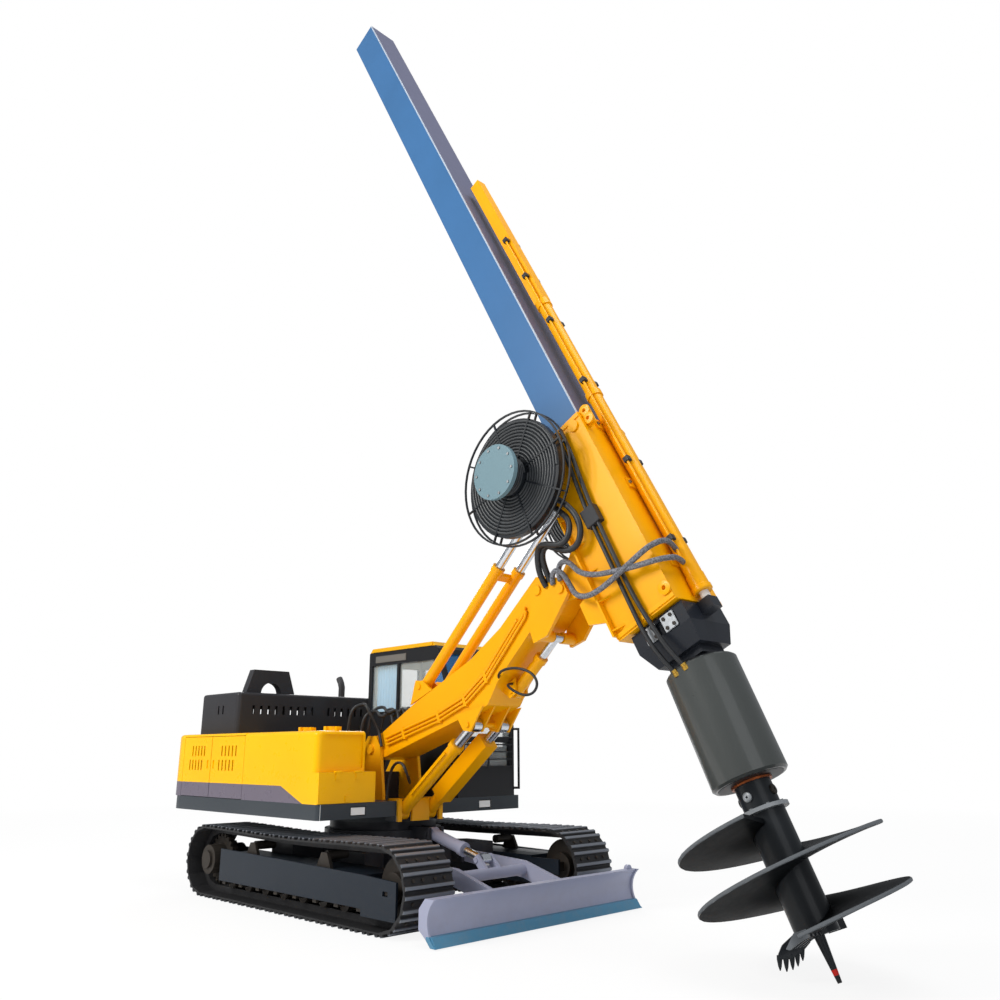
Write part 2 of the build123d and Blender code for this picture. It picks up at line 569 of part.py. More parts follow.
# Tank with a rounded corner, a sunk front panel and two filler caps, over the toolbox
TANK_INNER_Y = TANK_WIDTH - DECK_HALF
TOOLBOX_TOP = 1450.0
TOOLBOX_REAR = 330.0
TOOLBOX_INNER_Y = TANK_INNER_Y + 110
with BuildPart() as tank:
    with BuildSketch(Plane.XY.offset(DECK_TOP)):
        with Locations(((TANK_FRONT + TANK_REAR) / 2, (TANK_INNER_Y - DECK_HALF) / 2)):
            Rectangle(TANK_FRONT - TANK_REAR, DECK_HALF + TANK_INNER_Y)
    extrude(amount=PANEL_TOP - DECK_TOP)
    fillet(tank.edges().filter_by(Axis.Z).group_by(Axis.X)[-1].sort_by(Axis.Y)[0], 70)
    fillet(tank.edges().filter_by(Axis.X).group_by(Axis.Z)[-1].sort_by(Axis.Y)[0], 50)
    block((TOOLBOX_REAR - SLIP, TANK_FRONT + 100), (-DECK_HALF - 10, TANK_INNER_Y + 10),
          (DECK_TOP - 10, TOOLBOX_TOP + SLIP),
          Mode.SUBTRACT)
    block((TANK_FRONT - 22, TANK_FRONT + 10), (-DECK_HALF + 110, TANK_INNER_Y - 30),
          (TOOLBOX_TOP + 40, PANEL_TOP - 40), Mode.SUBTRACT)
    for x in (TANK_FRONT - 700, TANK_FRONT - 190):
        with Locations((x, (TANK_INNER_Y - DECK_HALF) / 2, PANEL_TOP + 25)):
            Cylinder(75, 50)
            Box(210, 40, 50)
            Box(40, 210, 50)
keep(tank, "tank")

TOOLBOX_FRONT = DECK_FRONT - 10
BOX_SKIN = 25.0
with BuildPart() as toolbox:
    block((TOOLBOX_REAR, TOOLBOX_FRONT - BOX_SKIN), (-DECK_HALF, TOOLBOX_INNER_Y), (DECK_TOP, TOOLBOX_TOP))
    block((TOOLBOX_REAR + BOX_SKIN, TOOLBOX_FRONT + 10), (-DECK_HALF + BOX_SKIN, TOOLBOX_INNER_Y - BOX_SKIN),
          (DECK_TOP + BOX_SKIN, TOOLBOX_TOP - BOX_SKIN), Mode.SUBTRACT)
keep(toolbox, "toolbox")

# Toolbox lid with its two knuckles and its latch
LID_MID_Y = (TOOLBOX_INNER_Y - DECK_HALF) / 2
with BuildPart() as toolbox_lid:
    block((TOOLBOX_FRONT - BOX_SKIN + SLIP, TOOLBOX_FRONT), (-DECK_HALF, TOOLBOX_INNER_Y),
          (DECK_TOP + 5, TOOLBOX_TOP))
    for edge in (-1, 1):
        cross_bar(TOOLBOX_FRONT, TOOLBOX_TOP, LID_MID_Y + edge * 130, 90, 14)
        block((TOOLBOX_FRONT - 5, TOOLBOX_FRONT + 10),
              (LID_MID_Y + edge * 130 - 30, LID_MID_Y + edge * 130 + 30),
              (TOOLBOX_TOP - 80, TOOLBOX_TOP))
    block((TOOLBOX_FRONT - 5, TOOLBOX_FRONT + 12), (LID_MID_Y - 30, LID_MID_Y + 30),
          (DECK_TOP + 20, DECK_TOP + 80))
keep(toolbox_lid, "toolbox_lid")

# Side bays behind the tank and behind the cab: rounded roof, inner wall and posts, closed by doors
BAY_ROOF = 30.0
BAY_DEPTH = 690.0
DOOR_GAP = 6.0
for side, sign in SIDES:
    front = TANK_REAR if sign < 0 else CAB_REAR - 25
    y_in = sign * (DECK_HALF - BAY_DEPTH)
    post_y = sorted((y_in, sign * (DECK_HALF - DOOR_THICK - SLIP)))
    with BuildPart() as bay:
        block((BAY_REAR + SLIP, front - SLIP), sorted((y_in, sign * (DECK_HALF - 2))),
              (PANEL_TOP - BAY_ROOF, PANEL_TOP))
        fillet(bay.edges().filter_by(Axis.X).group_by(Axis.Z)[-1].sort_by(Axis.Y)[0 if sign < 0 else -1], 26)
        block((BAY_REAR + SLIP, front - SLIP), sorted((y_in, y_in + sign * 30)),
              (DECK_TOP, PANEL_TOP - BAY_ROOF + 1))
        block((front - 30, front - SLIP), post_y, (DECK_TOP, PANEL_TOP - BAY_ROOF + 1))
        block((DOOR_SPLIT - 20, DOOR_SPLIT + 20), post_y, (DECK_TOP, PANEL_TOP - BAY_ROOF + 1))
    keep(bay, f"side_bay_{side}")

# Louvred doors: name, side, front edge, rear edge
DOOR_LIST = (("pump_door", -1, TANK_REAR, DOOR_SPLIT), ("rear_door_right", -1, DOOR_SPLIT, BAY_REAR),
             ("radiator_door", 1, CAB_REAR - 25, DOOR_SPLIT), ("rear_door_left", 1, DOOR_SPLIT, BAY_REAR))
LOUVRE_COUNT = 5
LOUVRE_Z = PANEL_TOP - 290
for name, sign, front, rear in DOOR_LIST:
    with BuildPart() as door:
        block((rear + DOOR_GAP, front - DOOR_GAP),
              sorted((sign * DECK_HALF, sign * (DECK_HALF - DOOR_THICK))),
              (DECK_TOP + DOOR_GAP, PANEL_TOP - BAY_ROOF - DOOR_GAP))
        for row in (-1, 1):
            for slot in range(LOUVRE_COUNT):
                x = (front + rear) / 2 + (slot - (LOUVRE_COUNT - 1) / 2) * (front - rear) * 0.105 + row * 28
                z = LOUVRE_Z + row * 84
                block((x - 15, x + 15), sorted((sign * (DECK_HALF + 20), sign * (DECK_HALF - 60))),
                      (z - 62, z + 62), Mode.SUBTRACT)
        latch_x = rear + DOOR_GAP + 70 if name in ("pump_door", "radiator_door") else front - DOOR_GAP - 70
        block((latch_x - 22, latch_x + 22), sorted((sign * (DECK_HALF - 10), sign * DECK_HALF)),
              (DECK_TOP + 340, DECK_TOP + 440),
              Mode.SUBTRACT)
    keep(door, name)

# Cab: hollow shell with its windows cut, door opening on the left, roof rim, front guard and grab rail
CAB_FLOOR = DECK_TOP
CAB_HEIGHT = CAB_ROOF - CAB_FLOOR
CAB_LEFT = DECK_HALF - CAB_INSET
CAB_RIGHT = CAB_LEFT - CAB_WIDTH
CAB_MID_Y = (CAB_LEFT + CAB_RIGHT) / 2
CAB_KNEE_Z = CAB_FLOOR + 0.447 * CAB_HEIGHT
SILL_Z = CAB_FLOOR + 0.552 * CAB_HEIGHT
HEAD_Z = CAB_ROOF - 0.123 * CAB_HEIGHT
LOW_PANE = (CAB_FLOOR + 0.185 * CAB_HEIGHT, CAB_FLOOR + 0.337 * CAB_HEIGHT)
SCREEN_LOW = CAB_FLOOR + 0.369 * CAB_HEIGHT
CAB_SIDE = ((CAB_REAR, CAB_FLOOR), (CAB_FRONT, CAB_FLOOR), (CAB_FRONT, CAB_KNEE_Z),
            (CAB_BROW_X + 110, CAB_ROOF - 95),
            (CAB_BROW_X, CAB_ROOF), (CAB_REAR + 70, CAB_ROOF), (CAB_REAR, CAB_ROOF - 70))
CAB_INSIDE = ((CAB_REAR + CAB_WALL, CAB_FLOOR + CAB_WALL), (CAB_FRONT - CAB_WALL, CAB_FLOOR + CAB_WALL),
              (CAB_FRONT - CAB_WALL, CAB_KNEE_Z - 12), (CAB_BROW_X + 70, CAB_ROOF - 130),
              (CAB_BROW_X - 20, CAB_ROOF - CAB_WALL), (CAB_REAR + 100, CAB_ROOF - CAB_WALL),
              (CAB_REAR + CAB_WALL, CAB_ROOF - 110))
DOOR_REAR = CAB_REAR + 970
DOOR_FRONT = CAB_FRONT - 85
DOOR_BROW = CAB_BROW_X + 100
DOOR_OUTLINE = ((DOOR_REAR, CAB_FLOOR + 60), (DOOR_FRONT, CAB_FLOOR + 60), (DOOR_FRONT, CAB_KNEE_Z),
                (DOOR_BROW, HEAD_Z), (DOOR_REAR, HEAD_Z))
DOOR_CUT = ((DOOR_REAR - SLIP, CAB_FLOOR + 54), (DOOR_FRONT + DOOR_GAP, CAB_FLOOR + 54),
            (DOOR_FRONT + DOOR_GAP, CAB_KNEE_Z + 4),
            (DOOR_BROW + DOOR_GAP, HEAD_Z + DOOR_GAP), (DOOR_REAR - SLIP, HEAD_Z + DOOR_GAP))
# Side windows: name, outline in X and Z
PANE_SPLIT = CAB_REAR + 640
POST_HALF = 22.0
REAR_POST = 70.0
SIDE_PANES = (("rear", ((CAB_REAR + REAR_POST, SILL_Z), (PANE_SPLIT - POST_HALF, SILL_Z),
                       (PANE_SPLIT - POST_HALF, HEAD_Z), (CAB_REAR + REAR_POST, HEAD_Z))),
              ("fore", ((PANE_SPLIT + POST_HALF, SILL_Z), (CAB_FRONT - 155, SILL_Z),
                       (CAB_BROW_X + 120, HEAD_Z), (PANE_SPLIT + POST_HALF, HEAD_Z))))
PANE_LOW = CAB_FLOOR + 0.311 * CAB_HEIGHT
DOOR_PANE = ((DOOR_REAR + 60, PANE_LOW), (DOOR_FRONT - 60, PANE_LOW), (DOOR_FRONT - 60, CAB_KNEE_Z - 20),
             (DOOR_BROW - 30, HEAD_Z - 60),
             (DOOR_REAR + 60, HEAD_Z - 60))
SKYLIGHT = (CAB_BROW_X - 780, CAB_BROW_X - 180)
RAIL_X = CAB_FRONT + 45
RAIL_Y = CAB_LEFT + 40
with BuildPart() as cab_shell:
    slab(CAB_SIDE, CAB_MID_Y, CAB_WIDTH)
    block((CAB_REAR + 70, CAB_BROW_X + 10), (CAB_RIGHT - 14, CAB_LEFT + 14), (CAB_ROOF - 52, CAB_ROOF - 14))
    slab(CAB_INSIDE, CAB_MID_Y, CAB_WIDTH - 2 * CAB_WALL, Mode.SUBTRACT)
    for name, pane in SIDE_PANES:
        slab(pane, CAB_RIGHT, 4 * CAB_WALL, Mode.SUBTRACT)
    slab(SIDE_PANES[0][1], CAB_LEFT, 4 * CAB_WALL, Mode.SUBTRACT)
    slab(DOOR_CUT, CAB_LEFT, 4 * CAB_WALL, Mode.SUBTRACT)
    block((0, CAB_FRONT + 200), (CAB_RIGHT + CAB_WALL, CAB_LEFT - CAB_WALL), (SCREEN_LOW, HEAD_Z + 80),
          Mode.SUBTRACT)
    block((CAB_FRONT - 200, CAB_FRONT + 200), (CAB_RIGHT + 100, CAB_LEFT - 100), LOW_PANE, Mode.SUBTRACT)
    block((CAB_REAR - 200, CAB_REAR + 200), (CAB_RIGHT + 100, CAB_LEFT - 100), (SILL_Z, HEAD_Z),
          Mode.SUBTRACT)
    block(SKYLIGHT, (CAB_RIGHT + 150, CAB_LEFT - 150), (CAB_ROOF - 200, CAB_ROOF + 100), Mode.SUBTRACT)
    for row in range(5):
        z = LOW_PANE[0] + (SCREEN_LOW - LOW_PANE[0]) * row / 4
        block((CAB_FRONT + 20, CAB_FRONT + 36), (CAB_RIGHT + 40, CAB_LEFT - 40), (z - 8, z + 8))
    for y in (CAB_RIGHT + 60, CAB_MID_Y, CAB_LEFT - 60):
        block((CAB_FRONT + 20, CAB_FRONT + 36), (y - 10, y + 10), (LOW_PANE[0] - 8, SCREEN_LOW + 8))
        for z in (LOW_PANE[0] - 4, SCREEN_LOW - 20):
            block((CAB_FRONT - 10, CAB_FRONT + 30), (y - 10, y + 10), (z - 10, z + 10))
    octagon_run([(CAB_FRONT - 20, RAIL_Y - 70, CAB_FLOOR + 90), (RAIL_X, RAIL_Y, CAB_FLOOR + 90),
                 (RAIL_X, RAIL_Y, CAB_KNEE_Z - 40),
                 (CAB_FRONT - 20, RAIL_Y - 70, CAB_KNEE_Z - 40)], 15)
keep(cab_shell, "cab_shell")

with BuildPart() as cab_door:
    slab(DOOR_OUTLINE, CAB_LEFT - CAB_WALL / 2, CAB_WALL)
    slab(DOOR_PANE, CAB_LEFT, 4 * CAB_WALL, Mode.SUBTRACT)
    block((DOOR_FRONT - 90, DOOR_FRONT - 50), (CAB_LEFT - 12, CAB_LEFT + 10),
          (PANE_LOW - 190, PANE_LOW - 110), Mode.SUBTRACT)
keep(cab_door, "cab_door")

PANE = 8.0
SCREEN_TOP = HEAD_Z + 80
SCREEN_TOP_X = CAB_FRONT + (CAB_BROW_X + 110 - CAB_FRONT) * (SCREEN_TOP - CAB_KNEE_Z) / (CAB_ROOF - 95 - CAB_KNEE_Z)
WINDSCREEN = ((CAB_FRONT - 26, SCREEN_LOW), (CAB_FRONT - 26, CAB_KNEE_Z - 6), (SCREEN_TOP_X - 28, SCREEN_TOP),
              (SCREEN_TOP_X - 37, SCREEN_TOP), (CAB_FRONT - 26 - PANE, CAB_KNEE_Z - 8),
              (CAB_FRONT - 26 - PANE, SCREEN_LOW))
with BuildPart() as door_glass:
    slab(DOOR_PANE, CAB_LEFT - CAB_WALL / 2, PANE)
keep(door_glass, "door_glass")

with BuildPart() as cab_glass:
    for name, pane in SIDE_PANES:
        slab(pane, CAB_RIGHT + CAB_WALL / 2, PANE)
    slab(SIDE_PANES[0][1], CAB_LEFT - CAB_WALL / 2, PANE)
    block((CAB_FRONT - CAB_WALL / 2 - PANE / 2, CAB_FRONT - CAB_WALL / 2 + PANE / 2),
          (CAB_RIGHT + 100, CAB_LEFT - 100), LOW_PANE)
    block((CAB_REAR + CAB_WALL / 2 - PANE / 2, CAB_REAR + CAB_WALL / 2 + PANE / 2),
          (CAB_RIGHT + 100, CAB_LEFT - 100), (SILL_Z, HEAD_Z))
    block(SKYLIGHT, (CAB_RIGHT + 150, CAB_LEFT - 150),
          (CAB_ROOF - CAB_WALL / 2 - PANE / 2, CAB_ROOF - CAB_WALL / 2 + PANE / 2))
    slab(WINDSCREEN, CAB_MID_Y, CAB_WIDTH - 2 * CAB_WALL)
keep(cab_glass, "cab_glass")

# Operator's seat with its two consoles
SEAT_REAR = CAB_REAR + 450
SEAT_TOP = CAB_FLOOR + 0.227 * CAB_HEIGHT
BACK_TOP = CAB_FLOOR + 0.589 * CAB_HEIGHT
CONSOLE_TOP = CAB_FLOOR + 0.311 * CAB_HEIGHT
SEAT_HALF = CAB_WIDTH * 0.26
with BuildPart() as seat:
    block((SEAT_REAR, SEAT_REAR + 500), (CAB_MID_Y - SEAT_HALF, CAB_MID_Y + SEAT_HALF),
          (CAB_FLOOR + CAB_WALL, SEAT_TOP))
    slab([(SEAT_REAR, SEAT_TOP - 20), (SEAT_REAR + 120, SEAT_TOP - 20), (SEAT_REAR, BACK_TOP),
          (SEAT_REAR - 120, BACK_TOP)],
         CAB_MID_Y, 2 * SEAT_HALF - 20)
    for edge in (-1, 1):
        block((SEAT_REAR + 40, SEAT_REAR + 720),
              sorted((CAB_MID_Y + edge * SEAT_HALF, CAB_MID_Y + edge * CAB_WIDTH * 0.385)),
              (CAB_FLOOR + CAB_WALL, CONSOLE_TOP))
keep(seat, "seat")

# Bent boom, a welded box with pipes clamped to both side plates
BOOM_TOP_LINE = ((441, 1874), (1043, 2197), (1968, 2618), (2434, 2921), (2960, 3395))
BOOM_LOW_LINE = ((3060, 3020), (2800, 2770), (2600, 2575), (2390, 2355), (2240, 2130), (2100, 2075),
                 (1815, 2000), (514, 1601))
BOOM_FOOT_RADIUS = 125.0
PIPE_ROUTE = ((570, 1735), (1500, 1985), (1930, 2150), (2260, 2385), (2740, 2900))
PIPE_STEP = (-16.0, 40.0)
PIPE_RADIUS = 15.0
PIPE_OUT = 22.0
# Pipe clamps: X and Z on the first pipe
PIPE_CLAMPS = ((900, 1824), (1508, 1988), (1931, 2151), (2256, 2382))


def boom_outline(inset):
    """Boom's side as a face, drawn in by the inset."""
    with BuildSketch(GEAR) as side:
        with BuildLine():
            Polyline((FOOT_X - 30, FOOT_Z - BOOM_FOOT_RADIUS), (FOOT_X - 30, FOOT_Z + BOOM_FOOT_RADIUS),
                     *BOOM_TOP_LINE,
                     (HEAD_PIN_X + 90, HEAD_PIN_Z + 150), (HEAD_PIN_X + 150, HEAD_PIN_Z - 60),
                     *BOOM_LOW_LINE, close=True)
        make_face()
        if inset:
            offset(amount=-inset, mode=Mode.REPLACE)
    return side.sketch


with BuildPart() as boom:
    extrude(boom_outline(0), amount=BOOM_HALF, both=True)
    extrude(boom_outline(2 * PLATE), amount=BOOM_HALF - PLATE, both=True, mode=Mode.SUBTRACT)
    cross_bar(FOOT_X, FOOT_Z, GEAR_Y, 2 * BOOM_HALF, 110)
    cross_bar(FOOT_X, FOOT_Z, GEAR_Y, 4 * BOOM_HALF, 55 + SLIP, Mode.SUBTRACT)
    cross_bar(HEAD_PIN_X, HEAD_PIN_Z, GEAR_Y, 2 * BOOM_HALF, 110)
    cross_bar(HEAD_PIN_X, HEAD_PIN_Z, GEAR_Y, 4 * BOOM_HALF, 50 + SLIP, Mode.SUBTRACT)
    for edge in (-1, 1):
        for cheek in (-1, 1):
            y_lift = GEAR_Y + edge * LIFT_SPREAD + cheek * 85
            slab([(LIFT_TOP_X - 190, 2040), (LIFT_TOP_X - 70, LIFT_TOP_Z - 60),
                  (LIFT_TOP_X + 40, LIFT_TOP_Z - 75),
                  (LIFT_TOP_X + 230, 2120)], y_lift, 24)
            y_tilt = GEAR_Y + edge * TILT_SPREAD + cheek * 84
            slab([(TILT_BASE_X - 140, 2180), (TILT_BASE_X - 60, TILT_BASE_Z + 70),
                  (TILT_BASE_X + 60, TILT_BASE_Z + 60),
                  (TILT_BASE_X + 230, 2330)], y_tilt, 24)
    cross_bar(LIFT_TOP_X, LIFT_TOP_Z, GEAR_Y, 2 * LIFT_SPREAD + 230, 30)
    cross_bar(TILT_BASE_X, TILT_BASE_Z, GEAR_Y, 2 * TILT_SPREAD + 220, 36)
    for cheek in (-1, 1):
        slab([(UNDER_BASE_X - 110, UNDER_BASE_Z - 10), (UNDER_BASE_X - 10, UNDER_BASE_Z - 75),
              (UNDER_BASE_X + 70, UNDER_BASE_Z - 20),
              (UNDER_BASE_X + 60, 2400), (UNDER_BASE_X - 60, 2330)], GEAR_Y + cheek * 85, 24)
    cross_bar(UNDER_BASE_X, UNDER_BASE_Z, GEAR_Y, 220, 30)
    for edge, count in ((-1, 3), (1, 2)):
        side_y = GEAR_Y + edge * (BOOM_HALF + PIPE_OUT)
        for pipe in range(count):
            octagon_run([(x + pipe * PIPE_STEP[0], side_y, z + pipe * PIPE_STEP[1]) for x, z in PIPE_ROUTE],
                        PIPE_RADIUS)
        reach = (count - 1) * PIPE_STEP[1] + 24
        for x, z in PIPE_CLAMPS:
            slab([(x - 20, z - 24), (x + 20, z - 24), (x + 20 + PIPE_STEP[0] * count, z + reach),
                  (x - 20 + PIPE_STEP[0] * count, z + reach)],
                 GEAR_Y + edge * (BOOM_HALF + 17), 38)
keep(boom, "boom")

TILT_BASE = (TILT_BASE_X, TILT_BASE_Z)
TILT_EYE = on_mast(TILT_PIN_S, TILT_PIN_T)
UNDER_BASE = (UNDER_BASE_X, UNDER_BASE_Z)
UNDER_EYE = (UNDER_EYE_X, UNDER_EYE_Z)


def square_run(base, eye, y_mid, start, end, half):
    """Square bar about a cylinder's axis, between two distances from its base."""
    near = along(base, eye, start)
    far = along(base, eye, end)
    run = Vector(far[0] - near[0], 0, far[1] - near[1])
    with BuildSketch(Plane(origin=(near[0], y_mid, near[1]), x_dir=(0, 1, 0), z_dir=run)) as face:
        Rectangle(2 * half, 2 * half)
    extrude(face.sketch, amount=run.length)


# Paired cylinders: name, base, eye, spread, barrel length, barrel radius, rod start, eye hole radius, base pin radius
PAIRS = (("lift", LIFT_BASE, LIFT_TOP, LIFT_SPREAD, 1190.0, 72.0, 380.0, 55.0, 42.0),
         ("tilt", TILT_BASE, TILT_EYE, TILT_SPREAD, 1736.0, 64.0, 950.0, 40.0, 36.0))
LIFT_SLEEVE = (280.0, 1265.0, 92.0)
LIFT_PIPE = (330.0, 1050.0)
TILT_LINK = (1560.0, 1630.0)
for name, base, eye, spread, length, radius, rod_start, hole, pin in PAIRS:
    with BuildPart() as barrels:
        for edge in (-1, 1):
            cylinder_barrel(base, eye, GEAR_Y + edge * spread, length, radius, radius - 16, radius + 8,
                            pin + SLIP)
        if name == "lift":
            square_run(base, eye, GEAR_Y + spread, *LIFT_SLEEVE)
            floor = along(base, eye, 2 * radius + 8)
            end = along(base, eye, LIFT_SLEEVE[1] + 1)
            bar_between((floor[0], GEAR_Y + spread, floor[1]), (end[0], GEAR_Y + spread, end[1]),
                        radius - 16, Mode.SUBTRACT)
            square_run(base, eye, GEAR_Y - spread - radius - 8, *LIFT_PIPE, 12.0)
        else:
            near = along(base, eye, TILT_LINK[0])
            far = along(base, eye, TILT_LINK[1])
            slab([near, far, (far[0] - 12, far[1] + 40), (near[0] - 12, near[1] + 40)], GEAR_Y,
                 2 * (spread - radius + 6))
    keep(barrels, f"{name}_barrels")
    with BuildPart() as rods:
        for edge in (-1, 1):
            cylinder_rod(base, eye, GEAR_Y + edge * spread, rod_start, radius - 16 - SLIP, radius + 6, 110,
                         hole)
    keep(rods, f"{name}_rods")

with BuildPart() as under_barrel:
    cylinder_barrel(UNDER_BASE, UNDER_EYE, GEAR_Y, 500, 62, 44, 66, 30 + SLIP)
keep(under_barrel, "under_barrel")

with BuildPart() as under_rod:
    cylinder_rod(UNDER_BASE, UNDER_EYE, GEAR_Y, 230, 44 - SLIP, 50, 110, 36)
keep(under_rod, "under_rod")

# Carrier link between the boom's head and the mast
MAST_PIN = on_mast(MAST_PIN_S, MAST_PIN_T)
CARRIER_PLATE = 45.0
CARRIER_Y = BOOM_HALF + RUN + CARRIER_PLATE / 2
with BuildPart() as carrier:
    for edge in (-1, 1):
        slab([(HEAD_PIN_X - 100, HEAD_PIN_Z + 60), (HEAD_PIN_X + 20, HEAD_PIN_Z + 120),
              (MAST_PIN[0] + 20, MAST_PIN[1] + 105),
              (MAST_PIN[0] + 100, MAST_PIN[1] - 60), (UNDER_EYE_X + 140, UNDER_EYE_Z - 20),
              (UNDER_EYE_X - 40, UNDER_EYE_Z - 80),
              (UNDER_EYE_X - 85, UNDER_EYE_Z + 30)], GEAR_Y + edge * CARRIER_Y, CARRIER_PLATE)
        inner = GEAR_Y + edge * (BOOM_HALF + RUN + 2)
        cap = GEAR_Y + edge * 75
        bar_between((UNDER_EYE_X, inner, UNDER_EYE_Z), (UNDER_EYE_X, cap, UNDER_EYE_Z), 60)
    cross_bar(HEAD_PIN_X, HEAD_PIN_Z, GEAR_Y, 2 * (BOOM_HALF + RUN + CARRIER_PLATE) + 40, 50)
    cross_bar(MAST_PIN[0], MAST_PIN[1], GEAR_Y, 2 * (BOOM_HALF + RUN + CARRIER_PLATE) + 40, 50)
    cross_bar(*UNDER_EYE, GEAR_Y, 200, 24)
keep(carrier, "carrier")

# Mast housing: a welded box with guide frames for the bar, ribbed rear flanges and wedge brackets
GUIDE_HALF = BAR_SIDE / 2 + GUIDE_GAP
MAST_MID_T = (MAST_REAR_T + MAST_FRONT_T) / 2
MAST_DEPTH = MAST_FRONT_T - MAST_REAR_T
MAST_LENGTH = MAST_TOP_S - MAST_BOTTOM_S
MAST_SKIN = 20.0
GUIDE_THICK = 90.0
MAST_LUG_Y = BOOM_HALF - 40
FLANGE_OUT = 70.0
FLANGE_RUN = (MAST_BOTTOM_S + 40, MAST_BOTTOM_S + 1440)
TILT_SLOT = (TILT_PIN_S - 100, TILT_PIN_S + 260)
with BuildPart() as mast:
    with BuildSketch(mast_plane(MAST_BOTTOM_S)):
        with Locations((MAST_MID_T, 0)):
            Rectangle(MAST_DEPTH, 2 * MAST_HALF)
    extrude(amount=MAST_LENGTH)
    with BuildSketch(mast_plane(MAST_BOTTOM_S + GUIDE_THICK)):
        with Locations((MAST_MID_T, 0)):
            Rectangle(MAST_DEPTH - 2 * MAST_SKIN, 2 * (MAST_HALF - MAST_SKIN))
    extrude(amount=MAST_LENGTH - 2 * GUIDE_THICK, mode=Mode.SUBTRACT)
    with BuildSketch(mast_plane(MAST_BOTTOM_S - 10)):
        Rectangle(2 * GUIDE_HALF, 2 * GUIDE_HALF)
    extrude(amount=MAST_LENGTH + 20, mode=Mode.SUBTRACT)
    for edge in (-1, 1):
        slab([on_mast(MAST_PIN_S - 300, MAST_REAR_T + 5), on_mast(MAST_PIN_S - 90, MAST_PIN_T - 70),
              on_mast(MAST_PIN_S + 90, MAST_PIN_T - 70),
              on_mast(MAST_PIN_S + 360, MAST_REAR_T + 5)], GEAR_Y + edge * MAST_LUG_Y, 60)
        slab([on_mast(TILT_SLOT[0], MAST_REAR_T - 20), on_mast(TILT_SLOT[1], MAST_REAR_T - 20),
              on_mast(TILT_SLOT[1], MAST_REAR_T + 60),
              on_mast(TILT_SLOT[0], MAST_REAR_T + 60)], GEAR_Y + edge * TILT_SPREAD, 136, Mode.SUBTRACT)
        for cheek in (-1, 1):
            slab([on_mast(TILT_PIN_S - 220, MAST_REAR_T + 5), on_mast(TILT_PIN_S - 70, TILT_PIN_T - 70),
                  on_mast(TILT_PIN_S + 70, TILT_PIN_T - 70),
                  on_mast(TILT_PIN_S + 220, MAST_REAR_T + 5)], GEAR_Y + edge * TILT_SPREAD + cheek * 80, 24)
        stub = GEAR_Y + edge * (MAST_HALF - 5)
        centre = on_mast(REEL_S, REEL_T)
        slab([on_mast(REEL_S - 260, MAST_REAR_T + 100), on_mast(REEL_S - 70, REEL_T - 70),
              on_mast(REEL_S + 70, REEL_T - 70),
              on_mast(REEL_S + 260, MAST_REAR_T + 100)], GEAR_Y + edge * (MAST_HALF - 20), 40)
        bar_between((centre[0], stub, centre[1]), (centre[0], GEAR_Y + edge * (REEL_OUT + 330), centre[1]),
                    60)
        flange_y = GEAR_Y + edge * (MAST_HALF + FLANGE_OUT / 2)
        slab([on_mast(FLANGE_RUN[0], MAST_REAR_T), on_mast(FLANGE_RUN[1], MAST_REAR_T),
              on_mast(FLANGE_RUN[1], MAST_REAR_T + MAST_SKIN),
              on_mast(FLANGE_RUN[0], MAST_REAR_T + MAST_SKIN)], flange_y, FLANGE_OUT)
        for rib in range(RIB_COUNT):
            s = FLANGE_RUN[0] + 60 + rib * (FLANGE_RUN[1] - FLANGE_RUN[0] - 120) / (RIB_COUNT - 1)
            with BuildSketch(mast_plane(s - 8)) as gusset:
                with BuildLine():
                    Polyline((MAST_REAR_T + 10, edge * (MAST_HALF - 4)),
                             (MAST_REAR_T + 150, edge * (MAST_HALF - 4)),
                             (MAST_REAR_T + 10, edge * (MAST_HALF + FLANGE_OUT - 8)), close=True)
                make_face()
            extrude(gusset.sketch, amount=16)
        slab([on_mast(MAST_BOTTOM_S + 210, MAST_REAR_T + 5), on_mast(MAST_BOTTOM_S + 330, MAST_REAR_T - 230),
              on_mast(MAST_BOTTOM_S + 560, MAST_REAR_T - 230), on_mast(MAST_BOTTOM_S + 620, MAST_REAR_T + 5)],
             GEAR_Y + edge * (MAST_HALF - 22), 35)
        boss = on_mast(MAST_TOP_S - 110, MAST_FRONT_T - 110)
        cross_bar(*boss, GEAR_Y + edge * (MAST_HALF + 8), 26, 62)
    for s in (MAST_TOP_S - 60, MAST_BOTTOM_S + 20):
        with BuildSketch(mast_plane(s)) as collar:
            with Locations((MAST_MID_T, 0)):
                Rectangle(MAST_DEPTH, 2 * MAST_HALF + 28)
                Rectangle(MAST_DEPTH - 60, 2 * MAST_HALF - 20, mode=Mode.SUBTRACT)
        extrude(collar.sketch, amount=40)
    cross_bar(*MAST_PIN, GEAR_Y, 4 * BOOM_HALF, 50 + SLIP, Mode.SUBTRACT)
    for edge in (-1, 1):
        for cheek in (-1, 1):
            cap = GEAR_Y + edge * TILT_SPREAD + cheek * 92
            cross_bar(*TILT_EYE, cap, 48, 42)
keep(mast, "mast")

# Crowd cylinder on the mast's front: round barrel, then a boxed top
CROWD_T = MAST_FRONT_T + CROWD_RADIUS + 4
SADDLES = (MAST_BOTTOM_S + 390, MAST_BOTTOM_S + 1340, MAST_TOP_S - 160)
CROWD_CAP = 80.0
